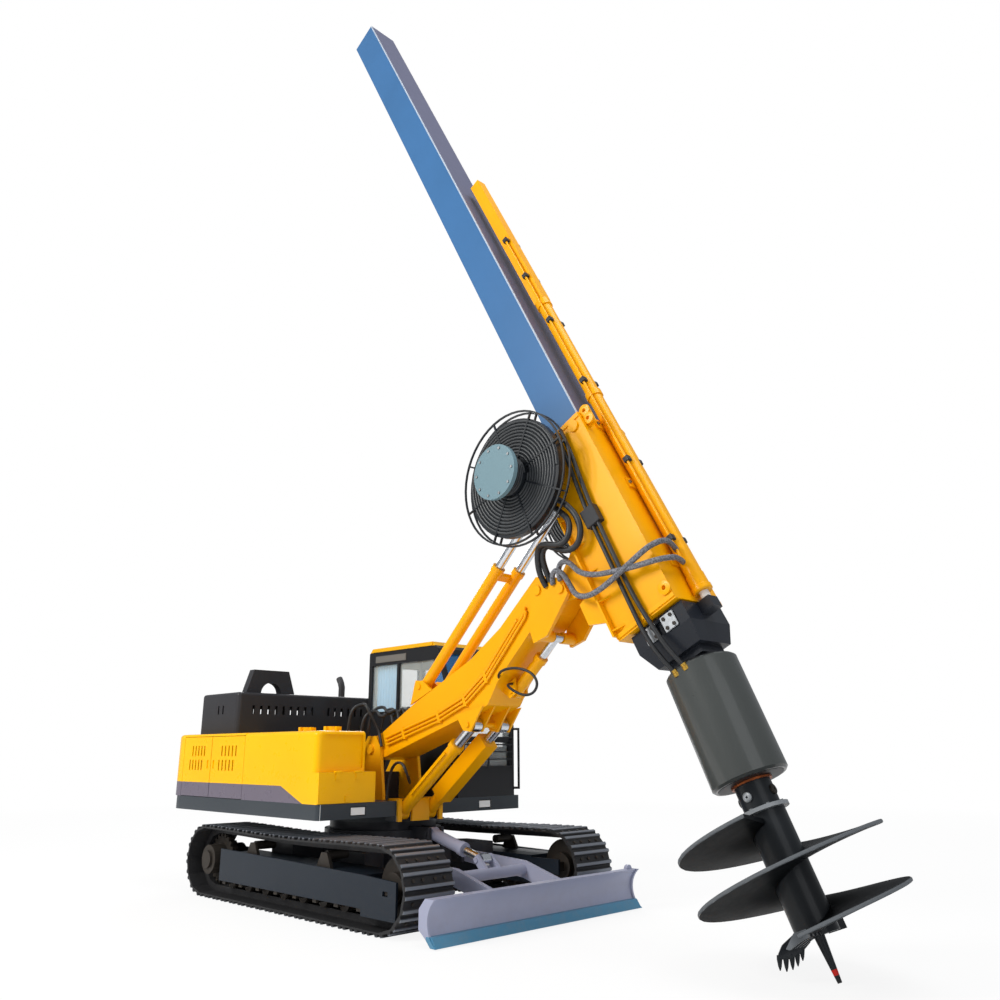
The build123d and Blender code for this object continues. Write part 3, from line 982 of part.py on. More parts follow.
# Collars on the barrel: s, length, radius
COLLARS = ((CROWD_BOTTOM_S, 90.0, CROWD_RADIUS + 3), (-120.0, 70.0, CROWD_RADIUS + 14),
           (CROWD_COLLAR_S - 120, 100.0, CROWD_RADIUS + 14))
with BuildPart() as crowd_barrel:
    with BuildSketch(mast_plane(CROWD_BOTTOM_S, CROWD_T)):
        Circle(CROWD_RADIUS)
        Circle(CROWD_BORE, mode=Mode.SUBTRACT)
    extrude(amount=CROWD_COLLAR_S - CROWD_BOTTOM_S)
    for s, length, radius in COLLARS:
        with BuildSketch(mast_plane(s, CROWD_T)) as ring:
            Circle(radius)
            Circle(CROWD_RADIUS - 6, mode=Mode.SUBTRACT)
        extrude(ring.sketch, amount=length)
    with BuildSketch(mast_plane(CROWD_COLLAR_S - 20, CROWD_T)) as box:
        Rectangle(CROWD_BOX, CROWD_BOX - 16)
        Circle(CROWD_BORE, mode=Mode.SUBTRACT)
    extrude(box.sketch, amount=CROWD_TOP_S - CROWD_CAP - CROWD_COLLAR_S + 20)
    with BuildSketch(mast_plane(CROWD_TOP_S - CROWD_CAP, CROWD_T)) as cap_face:
        Rectangle(CROWD_BOX, CROWD_BOX - 16)
    extrude(cap_face.sketch, amount=CROWD_CAP)
    for s in SADDLES:
        with BuildSketch(mast_plane(s, (MAST_FRONT_T + CROWD_T - CROWD_BORE - 2) / 2)) as saddle:
            Rectangle(CROWD_T - CROWD_BORE - 2 - MAST_FRONT_T, 300)
        extrude(saddle.sketch, amount=120)
keep(crowd_barrel, "crowd_barrel")

# Outer bar
with BuildPart() as outer_bar:
    with BuildSketch(mast_plane(FOOT_BLOCK_TOP_S)):
        Rectangle(BAR_SIDE, BAR_SIDE)
        Rectangle(BAR_SIDE - 2 * BAR_WALL, BAR_SIDE - 2 * BAR_WALL, mode=Mode.SUBTRACT)
    extrude(amount=BAR_TOP_S - FOOT_BLOCK_TOP_S)
keep(outer_bar, "outer_bar")

# Foot block under the outer bar, tapered below, with the lug of the crowd rod and the rod
FOOT_HALF = 325.0
FOOT_WAIST_S = (FOOT_BLOCK_TOP_S + FOOT_BLOCK_BOTTOM_S) / 2
with BuildPart() as foot_block:
    with BuildSketch(mast_plane(FOOT_WAIST_S)) as upper:
        with Locations((-10, 0)):
            Rectangle(2 * FOOT_HALF - 30, 2 * FOOT_HALF)
    extrude(upper.sketch, amount=FOOT_BLOCK_TOP_S - FOOT_WAIST_S)
    with BuildSketch(mast_plane(FOOT_BLOCK_BOTTOM_S)) as lower:
        Rectangle(500, 500)
    loft([lower.sketch, upper.sketch], ruled=True)
    with BuildSketch(mast_plane(FOOT_BLOCK_TOP_S - 110, CROWD_T - 40)) as lug:
        Rectangle(200, 150)
    extrude(lug.sketch, amount=110)
    for edge in (-1, 1):
        slab([on_mast(FOOT_WAIST_S + 25, -190), on_mast(FOOT_WAIST_S + 25, 190),
              on_mast(FOOT_BLOCK_TOP_S - 40, 190),
              on_mast(FOOT_BLOCK_TOP_S - 40, -190)], GEAR_Y + edge * FOOT_HALF, 50, Mode.SUBTRACT)
    with BuildSketch(mast_plane(FOOT_BLOCK_BOTTOM_S - 10)) as bore:
        Rectangle(INNER_SIDE + 2 * SLIP, INNER_SIDE + 2 * SLIP)
    extrude(bore.sketch, amount=FOOT_BLOCK_TOP_S - FOOT_BLOCK_BOTTOM_S + 20, mode=Mode.SUBTRACT)
    with BuildSketch(mast_plane(FOOT_BLOCK_TOP_S - 1, CROWD_T)) as rod:
        Circle(CROWD_ROD)
    extrude(rod.sketch, amount=4000)
    with BuildSketch(mast_plane(1200, CROWD_T)) as piston:
        Circle(CROWD_BORE - SLIP)
    extrude(piston.sketch, amount=80)
keep(foot_block, "foot_block")

# Inner bar down to the knuckle
with BuildPart() as inner_bar:
    with BuildSketch(mast_plane(HEAD_TOP_S + 40)):
        Rectangle(INNER_SIDE, INNER_SIDE)
        Rectangle(INNER_SIDE - 2 * BAR_WALL, INNER_SIDE - 2 * BAR_WALL, mode=Mode.SUBTRACT)
    extrude(amount=BAR_TOP_S - HEAD_TOP_S - 140)
    with BuildSketch(mast_plane(HEAD_TOP_S + 40)):
        Rectangle(INNER_SIDE, INNER_SIDE)
    extrude(amount=60)
keep(inner_bar, "inner_bar")

# Power head hung under the inner bar
with BuildPart() as power_head:
    with BuildSketch(head_plane(0)):
        Circle(HEAD_RADIUS)
    extrude(amount=HEAD_LENGTH)
    chamfer(power_head.edges().filter_by(GeomType.CIRCLE), 20)
    with BuildSketch(head_plane(0)):
        Circle(150)
    extrude(amount=-24)
    with BuildSketch(mast_plane(HEAD_TOP_S - 60)):
        Rectangle(240, 240)
    extrude(amount=100)
keep(power_head, "power_head")

# Auger: coupling, stem, flight of stretching pitch, teeth on its lower edge, fins and pilot
FLIGHT_ROOT = STEM_RADIUS - 25
FLIGHT_END = FLIGHT_START + FLIGHT_PITCH * FLIGHT_TURNS + FLIGHT_STRETCH * FLIGHT_TURNS ** 2
EDGE_ANGLE = FLIGHT_ANGLE + 360 * FLIGHT_TURNS
# Corners of the flight's section: radius and drop along the axis
FLIGHT_SECTION = ((FLIGHT_ROOT, 0.0), (AUGER_RADIUS, 0.0), (AUGER_RADIUS, FLIGHT_THICK),
                  (FLIGHT_ROOT, FLIGHT_THICK))


def flight_ring(turn):
    """Corners of the flight's section, as points, after a number of turns."""
    here = head_plane(FLIGHT_START + FLIGHT_PITCH * turn + FLIGHT_STRETCH * turn ** 2)
    angle = radians(FLIGHT_ANGLE + 360 * turn)
    return [here.from_local_coords(Vector(radius * cos(angle), radius * sin(angle), drop)) for radius,
            drop in FLIGHT_SECTION]


def radial_plane(u, angle, radius):
    """Plane square to a radius of the auger: local X along the turning, local Y down the axis."""
    here = head_plane(u)
    out = here.x_dir * cos(radians(angle)) + here.y_dir * sin(radians(angle))
    ahead = here.y_dir * cos(radians(angle)) - here.x_dir * sin(radians(angle))
    return Plane(origin=here.origin + out * radius, x_dir=ahead, z_dir=out)


step_count = round(FLIGHT_STEPS * FLIGHT_TURNS)
rings = [flight_ring(FLIGHT_TURNS * step / step_count) for step in range(step_count + 1)]
flight_faces = [Face(Wire.make_polygon(rings[0])), Face(Wire.make_polygon(rings[-1]))]
for here, after in zip(rings, rings[1:]):
    for corner in range(4):
        beside = (corner + 1) % 4
        flight_faces.append(Face(Wire.make_polygon([here[corner], here[beside], after[beside]])))
        flight_faces.append(Face(Wire.make_polygon([here[corner], after[beside], after[corner]])))

with BuildPart() as auger:
    with BuildSketch(head_plane(HEAD_LENGTH + SLIP)):
        Circle(COUPLING_RADIUS)
    extrude(amount=COUPLING_END - HEAD_LENGTH - SLIP)
    with BuildSketch(head_plane(COUPLING_END - 1)):
        Circle(STEM_RADIUS + 45)
    extrude(amount=31)
    with BuildSketch(head_plane(COUPLING_END)):
        Circle(STEM_RADIUS)
    extrude(amount=FLIGHT_END + FLIGHT_THICK + 14 - COUPLING_END)
    add(Solid(Shell(flight_faces)))
    with BuildSketch(head_plane(FLIGHT_END)) as pilot_root:
        Circle(45)
    with BuildSketch(head_plane(TIP_END)) as pilot_tip:
        Circle(17)
    loft([pilot_root.sketch, pilot_tip.sketch])
    for tooth in range(4):
        place = STEM_RADIUS + 90 + tooth * (AUGER_RADIUS - STEM_RADIUS - 130) / 3
        with BuildSketch(radial_plane(FLIGHT_END, EDGE_ANGLE, place - 35)) as profile:
            with BuildLine():
                Polyline((-60, -12), (30, -12), (TOOTH_LENGTH, 62), (TOOTH_LENGTH - 22, 76), (10, 50),
                         (-60, 40), close=True)
            make_face()
        extrude(profile.sketch, amount=70)
    for fin in (0, 1):
        with BuildSketch(radial_plane(FLIGHT_END - 40, EDGE_ANGLE + 150 + 60 * fin,
                                      STEM_RADIUS - 30)) as profile:
            Rectangle(30, 170)
        extrude(profile.sketch, amount=200)
keep(auger, "auger")

# Hose reels at both sides of the mast: rings, spokes, wound drum, hub and cap
REEL_CENTRE = on_mast(REEL_S, REEL_T)
REEL_SIDES = 48
REEL_RING = 18.0
REEL_WIDTH = 110.0
WINDING_RADIUS = 635.0


def reel_plane(y, turn=0.0):
    """Plane of a reel's side at a place across the rig, turned about the reel's axis."""
    ahead = (cos(radians(turn)), 0, sin(radians(turn)))
    return Plane(origin=(REEL_CENTRE[0], y, REEL_CENTRE[1]), x_dir=ahead, z_dir=(0, 1, 0))


for side, sign in SIDES:
    start = GEAR_Y + sign * REEL_OUT
    with BuildPart() as reel:
        with BuildSketch(reel_plane(start + sign * REEL_WIDTH / 2)) as winding:
            RegularPolygon(WINDING_RADIUS, REEL_SIDES)
        extrude(winding.sketch, amount=REEL_WIDTH / 2 - REEL_RING, both=True)
        for across in (REEL_RING / 2, REEL_WIDTH - REEL_RING / 2):
            with BuildSketch(reel_plane(start + sign * across)) as ring:
                RegularPolygon(REEL_RADIUS, REEL_SIDES)
                RegularPolygon(REEL_RADIUS - REEL_RING, REEL_SIDES, mode=Mode.SUBTRACT)
            extrude(ring.sketch, amount=REEL_RING / 2, both=True)
            for spoke in range(REEL_SPOKES):
                with BuildSketch(reel_plane(start + sign * across, 360 * (spoke + 0.5) / REEL_SPOKES)) as bar:
                    with Locations((REEL_RADIUS / 2 + 80, 0)):
                        Rectangle(REEL_RADIUS - 180, REEL_RING)
                extrude(bar.sketch, amount=REEL_RING / 2 + 1, both=True)
        bar_between((REEL_CENTRE[0], start, REEL_CENTRE[1]),
                    (REEL_CENTRE[0], start + sign * 320, REEL_CENTRE[1]), 190)
        bar_between((REEL_CENTRE[0], start + sign * 319, REEL_CENTRE[1]),
                    (REEL_CENTRE[0], start + sign * 370, REEL_CENTRE[1]), 290)
        bar_between((REEL_CENTRE[0], start - sign * 100, REEL_CENTRE[1]),
                    (REEL_CENTRE[0], start + sign * 340, REEL_CENTRE[1]), 60 + SLIP,
                    Mode.SUBTRACT)
    keep(reel, f"hose_reel_{side}")
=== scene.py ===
# %% [markdown]
# # Rotary piling rig
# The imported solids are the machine's real shapes. This lesson dresses them: a camera that
# matches the photograph, painted and worn steel, rubber hoses, wound reels, bolts and a curtain.

# %% Load the frame
import bpy
import bmesh
from math import cos, pi, radians, sin, tau
from mathutils import Matrix, Vector


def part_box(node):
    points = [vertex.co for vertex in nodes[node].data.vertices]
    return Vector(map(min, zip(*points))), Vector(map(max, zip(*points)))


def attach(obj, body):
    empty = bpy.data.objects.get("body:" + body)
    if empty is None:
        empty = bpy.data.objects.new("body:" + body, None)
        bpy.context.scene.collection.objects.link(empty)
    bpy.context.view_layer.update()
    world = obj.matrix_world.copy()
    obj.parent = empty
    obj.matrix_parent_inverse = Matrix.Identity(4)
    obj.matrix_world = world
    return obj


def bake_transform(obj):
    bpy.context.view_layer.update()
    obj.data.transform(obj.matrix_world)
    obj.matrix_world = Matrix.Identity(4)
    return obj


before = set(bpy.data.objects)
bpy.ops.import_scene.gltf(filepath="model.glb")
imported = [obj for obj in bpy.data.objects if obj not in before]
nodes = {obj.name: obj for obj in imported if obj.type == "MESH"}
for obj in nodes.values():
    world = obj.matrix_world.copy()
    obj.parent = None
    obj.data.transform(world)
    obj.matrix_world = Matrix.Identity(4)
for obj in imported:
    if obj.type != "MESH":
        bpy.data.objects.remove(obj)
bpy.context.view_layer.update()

# %% [markdown]
# ## The machine's own directions
# The bar leans back by 27.4 degrees, so places on the mast are easier to name by two lengths:
# s runs up the bar and t runs ahead of it. The auger hangs on its own axis, a little steeper.

# %% Places on the mast and on the auger
GEAR_Y = -0.150
MAST_ORIGIN = Vector((3.244, GEAR_Y, 5.200))
MAST_LEAN = radians(27.4)
UP = Vector((-sin(MAST_LEAN), 0, cos(MAST_LEAN)))
AHEAD = Vector((cos(MAST_LEAN), 0, sin(MAST_LEAN)))
HEAD_LEAN = radians(23.2)
DOWN = Vector((sin(HEAD_LEAN), 0, -cos(HEAD_LEAN)))
HEAD_BACK = Vector((-cos(HEAD_LEAN), 0, -sin(HEAD_LEAN)))
LEFT = Vector((0, 1, 0))
SIDES = (("right", -1), ("left", 1))


def on_mast(s, t, y=0.0):
    """Point at s up the bar, t ahead of it and y left of the gear's middle."""
    return MAST_ORIGIN + UP * s + AHEAD * t + LEFT * y


HEAD_TOP = on_mast(-3.190, 0)
REEL_CENTRE = on_mast(-0.620, -0.580)
REEL_OUT = 0.540
print("reel at", [round(v, 3) for v in REEL_CENTRE])

# %% [markdown]
# ## Camera
# The camera's place, aim and lens were fitted to edges of the photograph whose real places the
# solids give, so the render can be laid over the photograph.

# %% Camera
SENSOR = 36.0
FOCAL_PIXELS = 874.374
IMAGE_PIXELS = 1000.0
CAMERA_PLACE = (9.050, -6.963, 1.654)
CAMERA_TURN = radians(45.206)
CAMERA_TIP = radians(106.071)
CAMERA_ROLL = radians(-0.175)
lens = bpy.data.cameras.new("camera")
lens.sensor_width = SENSOR
lens.sensor_height = SENSOR
lens.lens = FOCAL_PIXELS / IMAGE_PIXELS * SENSOR
lens.clip_end = 1000
camera = bpy.data.objects.new("camera", lens)
turn = Matrix.Rotation(CAMERA_TURN, 4, "Z") @ Matrix.Rotation(CAMERA_TIP, 4, "X")
camera.matrix_world = Matrix.Translation(CAMERA_PLACE) @ turn @ Matrix.Rotation(CAMERA_ROLL, 4, "Z")
bpy.context.scene.collection.objects.link(camera)
bpy.context.scene.camera = camera
bpy.context.scene.view_settings.view_transform = "Standard"
print("lens", round(lens.lens, 2), "mm")

# %% [markdown]
# ## Colours and shader nodes
# Colours are read off real paint as sRGB hex values, and a shader wants linear ones, so one
# function converts them. One more adds a shader node with its settings and its links.

# %% Two helpers for materials
def paint(code):
    """Linear RGBA of an sRGB hex colour."""
    values = [int(code[i:i + 2], 16) / 255 for i in (0, 2, 4)]
    return [v / 12.92 if v <= 0.04045 else ((v + 0.055) / 1.055) ** 2.4 for v in values] + [1.0]


def add_node(tree, kind, inputs=None, **settings):
    """New node in a tree, with settings, values and links; a node as input gives its first output."""
    made = tree.nodes.new(kind)
    for name, value in settings.items():
        setattr(made, name, value)
    for socket, value in (inputs or {}).items():
        if isinstance(value, bpy.types.Node):
            value = value.outputs[0]
        if isinstance(value, bpy.types.NodeSocket):
            tree.links.new(value, made.inputs[socket])
        else:
            made.inputs[socket].default_value = value
    return made


def new_material(name):
    """Empty material with its output, its Object coordinates and its shader."""
    material = bpy.data.materials.new(name)
    material.use_nodes = True
    tree = material.node_tree
    tree.nodes.clear()
    place = add_node(tree, "ShaderNodeTexCoord").outputs["Object"]
    shader = add_node(tree, "ShaderNodeBsdfPrincipled")
    add_node(tree, "ShaderNodeOutputMaterial", {"Surface": shader})
    return material, tree, place, shader


# %% [markdown]
# ## Floor, backdrop and light
# A studio floor as white as its backdrop: camera rays see nearly plain white, and the floor keeps
# a little of its own shading near the machine, so that it stands on its shadow.

# %% Floor and world
FLOOR_HALF = 400
FLOOR_DROP = 0.002


def make_floor():
    """Wide pale floor under the tracks."""
    mesh = bpy.data.meshes.new("floor")
    corners = [(x * FLOOR_HALF, y * FLOOR_HALF, 0) for x, y in ((-1, -1), (1, -1), (1, 1), (-1, 1))]
    mesh.from_pydata(corners, [], [(0, 1, 2, 3)])
    floor = bpy.data.objects.new("floor", mesh)
    floor.location.z = -FLOOR_DROP
    bpy.context.scene.collection.objects.link(floor)
    material = bpy.data.materials.new("studio_floor")
    material.use_nodes = True
    tree = material.node_tree
    tree.nodes.clear()
    path = add_node(tree, "ShaderNodeLightPath")
    matt = add_node(tree, "ShaderNodeBsdfDiffuse", {"Color": (0.90, 0.90, 0.90, 1)})
    white = add_node(tree, "ShaderNodeEmission", {"Color": (1, 1, 1, 1), "Strength": 1.0})
    place = add_node(tree, "ShaderNodeTexCoord").outputs["Object"]
    far = add_node(tree, "ShaderNodeVectorMath", {0: place}, operation="LENGTH")
    share = add_node(tree, "ShaderNodeMapRange", {"Value": far.outputs["Value"], 1: 5.0, 2: 22.0, 3: 0.88,
                                                  4: 1.0})
    seen = add_node(tree, "ShaderNodeMath", {0: path.outputs["Is Camera Ray"], 1: share},
                    operation="MULTIPLY")
    mixed = add_node(tree, "ShaderNodeMixShader", {0: seen, 1: matt, 2: white})
    add_node(tree, "ShaderNodeOutputMaterial", {"Surface": mixed})
    mesh.materials.append(material)


def make_world():
    """White to the camera and through glass; a plain soft light to everything else."""
    world = bpy.data.worlds.new("studio")
    bpy.context.scene.world = world
    world.use_nodes = True
    tree = world.node_tree
    tree.nodes.clear()
    path = add_node(tree, "ShaderNodeLightPath")
    either = add_node(tree, "ShaderNodeMath",
                      {0: path.outputs["Is Camera Ray"], 1: path.outputs["Is Transmission Ray"]},
                      operation="MAXIMUM")
    soft = add_node(tree, "ShaderNodeBackground", {"Color": (0.93, 0.96, 1.0, 1), "Strength": 0.38})
    white = add_node(tree, "ShaderNodeBackground", {"Color": (1, 1, 1, 1), "Strength": 1.0})
    mixed = add_node(tree, "ShaderNodeMixShader", {0: either, 1: soft, 2: white})
    add_node(tree, "ShaderNodeOutputWorld", {"Surface": mixed})


make_floor()
make_world()
# Soft boxes: name, place, aim, side in metres, watts, colour
LIGHTS = (("key", (-3.0, -15.0, 11.0), (0.5, 0, 2.5), 7.0, 2300, (1.0, 0.98, 0.94)),
          ("front", (15.0, -6.0, 7.0), (2.0, 0, 3.0), 8.0, 260, (0.95, 0.97, 1.0)),
          ("top", (8.0, 0.0, 17.0), (2.0, 0, 3.0), 9.0, 1150, (1.0, 1.0, 1.0)),
          ("rear", (-12.0, 10.0, 12.0), (0, 0, 2.0), 8.0, 1300, (1.0, 1.0, 1.0)))
for name, place, aim, side, watts, colour in LIGHTS:
    lamp = bpy.data.lights.new(name, "AREA")
    lamp.shape = "SQUARE"
    lamp.size = side
    lamp.energy = watts
    lamp.color = colour
    light = bpy.data.objects.new(name, lamp)
    aim_turn = (Vector(aim) - Vector(place)).to_track_quat("-Z", "Y").to_matrix().to_4x4()
    light.matrix_world = Matrix.Translation(place) @ aim_turn
    bpy.context.scene.collection.objects.link(light)
print("lights", len(LIGHTS))

# %% [markdown]
# ## Painted steel
# Machine enamel is sprayed in one thick gloss coat. It has a fine orange peel, a slow drift of
# tone from panel to panel, and dust that settles towards the ground. Each of these is one
# noise on Object coordinates, at a size that a painter would know.

# %% Enamel
def enamel(name, code, shade, roughness, coat, dust_top=1.2, dust_share=0.35, mark=None, gloss=0.2):
    """Sprayed enamel: two near tones, orange peel, and dust below dust_top; mark lays more paint by place."""
    material, tree, place, shader = new_material(name)
    cloud = add_node(tree, "ShaderNodeTexNoise", {"Vector": place, "Scale": 1.1, "Detail": 3.0})
    tone = add_node(tree, "ShaderNodeMix", {"Factor": cloud.outputs["Fac"], 6: paint(code),
                                            7: paint(shade)}, data_type="RGBA")
    colour = tone.outputs[2]
    for share, over in mark(tree, place) if mark else ():
        laid = add_node(tree, "ShaderNodeMix", {"Factor": share, 6: colour, 7: paint(over)}, data_type="RGBA")
        colour = laid.outputs[2]
    axes = add_node(tree, "ShaderNodeSeparateXYZ", {"Vector": place})
    speck = add_node(tree, "ShaderNodeTexNoise", {"Vector": place, "Scale": 9.0, "Detail": 6.0,
                                                  "Roughness": 0.7})
    low = add_node(tree, "ShaderNodeMapRange", {"Value": axes.outputs["Z"], 1: dust_top, 2: 0.0, 3: 0.0,
                                                4: dust_share})
    grain = add_node(tree, "ShaderNodeMapRange", {"Value": speck.outputs["Fac"], 1: 0.42, 2: 0.72, 3: 0.0,
                                                  4: 1.0})
    dust = add_node(tree, "ShaderNodeMath", {0: low, 1: grain}, operation="MULTIPLY")
    dusty = add_node(tree, "ShaderNodeMix", {"Factor": dust, 6: colour, 7: paint("8C8478")}, data_type="RGBA")
    tree.links.new(dusty.outputs[2], shader.inputs["Base Color"])
    dull = add_node(tree, "ShaderNodeMapRange", {"Value": speck.outputs["Fac"], 1: 0.3, 2: 0.8,
                                                 3: roughness, 4: roughness + 0.07})
    tree.links.new(dull.outputs[0], shader.inputs["Roughness"])
    # Orange peel of about 8 mm, drawn coarser than on the machine so that it shows
    peel = add_node(tree, "ShaderNodeTexNoise", {"Vector": place, "Scale": 120.0, "Detail": 1.0})
    bump = add_node(tree, "ShaderNodeBump", {"Height": peel.outputs["Fac"], "Strength": 0.025,
                                             "Distance": 0.004})
    tree.links.new(bump.outputs[0], shader.inputs["Normal"])
    shader.inputs["IOR"].default_value = 1.5
    shader.inputs["Specular IOR Level"].default_value = gloss
    shader.inputs["Coat Weight"].default_value = coat
    shader.inputs["Coat Roughness"].default_value = 0.08
    return material


# %% [markdown]
# ## Bare and worn metal
# Rods are hard chrome, ground round. Grouser tips are polished by the ground and the rest of a
# shoe is rolled steel with old mud on it, so the shoe's shader measures how far a point stands
# out of the track's loop.

# %% Metals
TRACK_AHEAD = 0.150
WHEELBASE = 3.530
WHEEL_Z = 0.405
TRACK_SAG = 0.026


def worn_metal(name, code, shade, roughness, metallic, scale=14.0):
    """Metal whose tone and gloss drift in blotches."""
    material, tree, place, shader = new_material(name)
    blotch = add_node(tree, "ShaderNodeTexNoise", {"Vector": place, "Scale": scale, "Detail": 5.0,
                                                   "Roughness": 0.6})
    tone = add_node(tree, "ShaderNodeMix", {"Factor": blotch.outputs["Fac"], 6: paint(code),
                                            7: paint(shade)}, data_type="RGBA")
    tree.links.new(tone.outputs[2], shader.inputs["Base Color"])
    dull = add_node(tree, "ShaderNodeMapRange", {"Value": blotch.outputs["Fac"], 1: 0.3, 2: 0.7,
                                                 3: roughness, 4: roughness + 0.2})
    tree.links.new(dull.outputs[0], shader.inputs["Roughness"])
    bump = add_node(tree, "ShaderNodeBump", {"Height": blotch.outputs["Fac"], "Strength": 0.12,
                                             "Distance": 0.004})
    tree.links.new(bump.outputs[0], shader.inputs["Normal"])
    shader.inputs["Metallic"].default_value = metallic
    return material


def track_steel():
    """Rolled shoe steel: brown-black, with grouser tips that the ground has polished."""
    material, tree, place, shader = new_material("rolled_track_steel")
    axes = add_node(tree, "ShaderNodeSeparateXYZ", {"Vector": place})
    ahead = add_node(tree, "ShaderNodeMath", {0: axes.outputs["X"], 1: TRACK_AHEAD}, operation="SUBTRACT")
    span = add_node(tree, "ShaderNodeMath", {0: ahead}, operation="ABSOLUTE")
    past = add_node(tree, "ShaderNodeMath", {0: span, 1: WHEELBASE / 2}, operation="SUBTRACT")
    beyond = add_node(tree, "ShaderNodeMath", {0: past, 1: 0.0}, operation="MAXIMUM")
    phase = add_node(tree, "ShaderNodeMath", {0: ahead, 1: pi / WHEELBASE}, operation="MULTIPLY")
    wave = add_node(tree, "ShaderNodeMath", {0: phase}, operation="COSINE")
    square = add_node(tree, "ShaderNodeMath", {0: wave, 1: wave}, operation="MULTIPLY")
    upper = add_node(tree, "ShaderNodeMath", {0: axes.outputs["Z"], 1: WHEEL_Z}, operation="GREATER_THAN")
    sag = add_node(tree, "ShaderNodeMath", {0: square, 1: upper}, operation="MULTIPLY")
    level = add_node(tree, "ShaderNodeMath", {0: sag, 1: TRACK_SAG, 2: axes.outputs["Z"]},
                     operation="MULTIPLY_ADD")
    rise = add_node(tree, "ShaderNodeMath", {0: level, 1: WHEEL_Z}, operation="SUBTRACT")
    reach = add_node(tree, "ShaderNodeCombineXYZ", {"X": beyond, "Z": rise})
    out = add_node(tree, "ShaderNodeVectorMath", {0: reach}, operation="LENGTH")
    mud = add_node(tree, "ShaderNodeTexNoise", {"Vector": place, "Scale": 7.0, "Detail": 6.0,
                                                "Roughness": 0.65})
    body = add_node(tree, "ShaderNodeMix", {"Factor": mud.outputs["Fac"], 6: paint("1A1A1C"),
                                            7: paint("363638")}, data_type="RGBA")
    edge = add_node(tree, "ShaderNodeMapRange", {"Value": out.outputs["Value"], 1: 0.394, 2: 0.404, 3: 0.0,
                                                 4: 0.8})
    colour = add_node(tree, "ShaderNodeMix", {"Factor": edge, 6: body.outputs[2], 7: paint("868C96")},
                      data_type="RGBA")
    tree.links.new(colour.outputs[2], shader.inputs["Base Color"])
    gloss = add_node(tree, "ShaderNodeMapRange", {"Value": edge, 1: 0.0, 2: 0.8, 3: 0.62, 4: 0.34})
    tree.links.new(gloss.outputs[0], shader.inputs["Roughness"])
    bump = add_node(tree, "ShaderNodeBump", {"Height": mud.outputs["Fac"], "Strength": 0.25,
                                             "Distance": 0.006})
    tree.links.new(bump.outputs[0], shader.inputs["Normal"])
    shader.inputs["Metallic"].default_value = 0.35
    return material


# %% [markdown]
# ## Colour by place
# Some pieces wear more than one colour. Each mark is a small recipe that reads the place on a
# piece and returns pairs of a share and a paint, which the enamel lays one over the other: the
# band along the body, the bar's slate front and the painted highlight on its corner, the blade's
# worn edge, the deck's lamps and brackets, the cab's roof edge and lining, a reel's cap, the
# auger's flange and rim, and the crowd rod.

# %% Marks
STRIPE_TOP = 1.300
STRIPE_NOSE = 0.10
STRIPE_SLANT = 2.6
BAR_SIDE = 0.442
CAB_MID_Y = 0.930
CAB_HALF_INSIDE = 0.4225


def band_mark(tree, place):
    """Violet-grey band along the bottom of the body, cut off on a slant below the tank."""
    axes = add_node(tree, "ShaderNodeSeparateXYZ", {"Vector": place})
    under = add_node(tree, "ShaderNodeMath", {0: axes.outputs["Z"], 1: STRIPE_TOP}, operation="LESS_THAN")
    slant = add_node(tree, "ShaderNodeMath", {0: axes.outputs["Z"], 1: STRIPE_SLANT, 2: axes.outputs["X"]},
                     operation="MULTIPLY_ADD")
    behind = add_node(tree, "ShaderNodeMath", {0: slant, 1: STRIPE_SLANT * STRIPE_TOP + STRIPE_NOSE},
                      operation="LESS_THAN")
    inside = add_node(tree, "ShaderNodeMath", {0: under, 1: behind}, operation="MULTIPLY")
    return [(inside, "6A6370")]


def bar_mark(tree, place):
    """Slate on the bar's front wall, and a thin painted highlight along its right front corner."""
    turned = add_node(tree, "ShaderNodeMapping", {"Vector": place, "Rotation": (0, MAST_LEAN, 0)},
                      vector_type="POINT")
    axes = add_node(tree, "ShaderNodeSeparateXYZ", {"Vector": turned})
    front_x = (Matrix.Rotation(MAST_LEAN, 3, "Y") @ on_mast(0, BAR_SIDE / 2)).x
    front = add_node(tree, "ShaderNodeMath", {0: axes.outputs["X"], 1: front_x - 0.002},
                     operation="GREATER_THAN")
    # The pale line along the right front corner is a painted highlight on that edge
    near = add_node(tree, "ShaderNodeMath", {0: axes.outputs["X"], 1: front_x - 0.016},
                    operation="GREATER_THAN")
    side = add_node(tree, "ShaderNodeMath", {0: axes.outputs["Y"], 1: GEAR_Y - BAR_SIDE / 2 + 0.014},
                    operation="LESS_THAN")
    corner = add_node(tree, "ShaderNodeMath", {0: near, 1: side}, operation="MULTIPLY")
    line = add_node(tree, "ShaderNodeMath", {0: corner, 1: 0.7}, operation="MULTIPLY")
    return [(front, "5D5F78"), (line, "C9D2DC")]


def blade_mark(tree, place):
    """Cutting edge worn to blue steel along the blade's foot."""
    axes = add_node(tree, "ShaderNodeSeparateXYZ", {"Vector": place})
    low = add_node(tree, "ShaderNodeMath", {0: axes.outputs["Z"], 1: 0.097}, operation="LESS_THAN")
    ahead = add_node(tree, "ShaderNodeMath", {0: axes.outputs["X"], 1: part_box("blade")[1].x - 0.13},
                     operation="GREATER_THAN")
    edge = add_node(tree, "ShaderNodeMath", {0: low, 1: ahead}, operation="MULTIPLY")
    return [(edge, "4F86A6")]


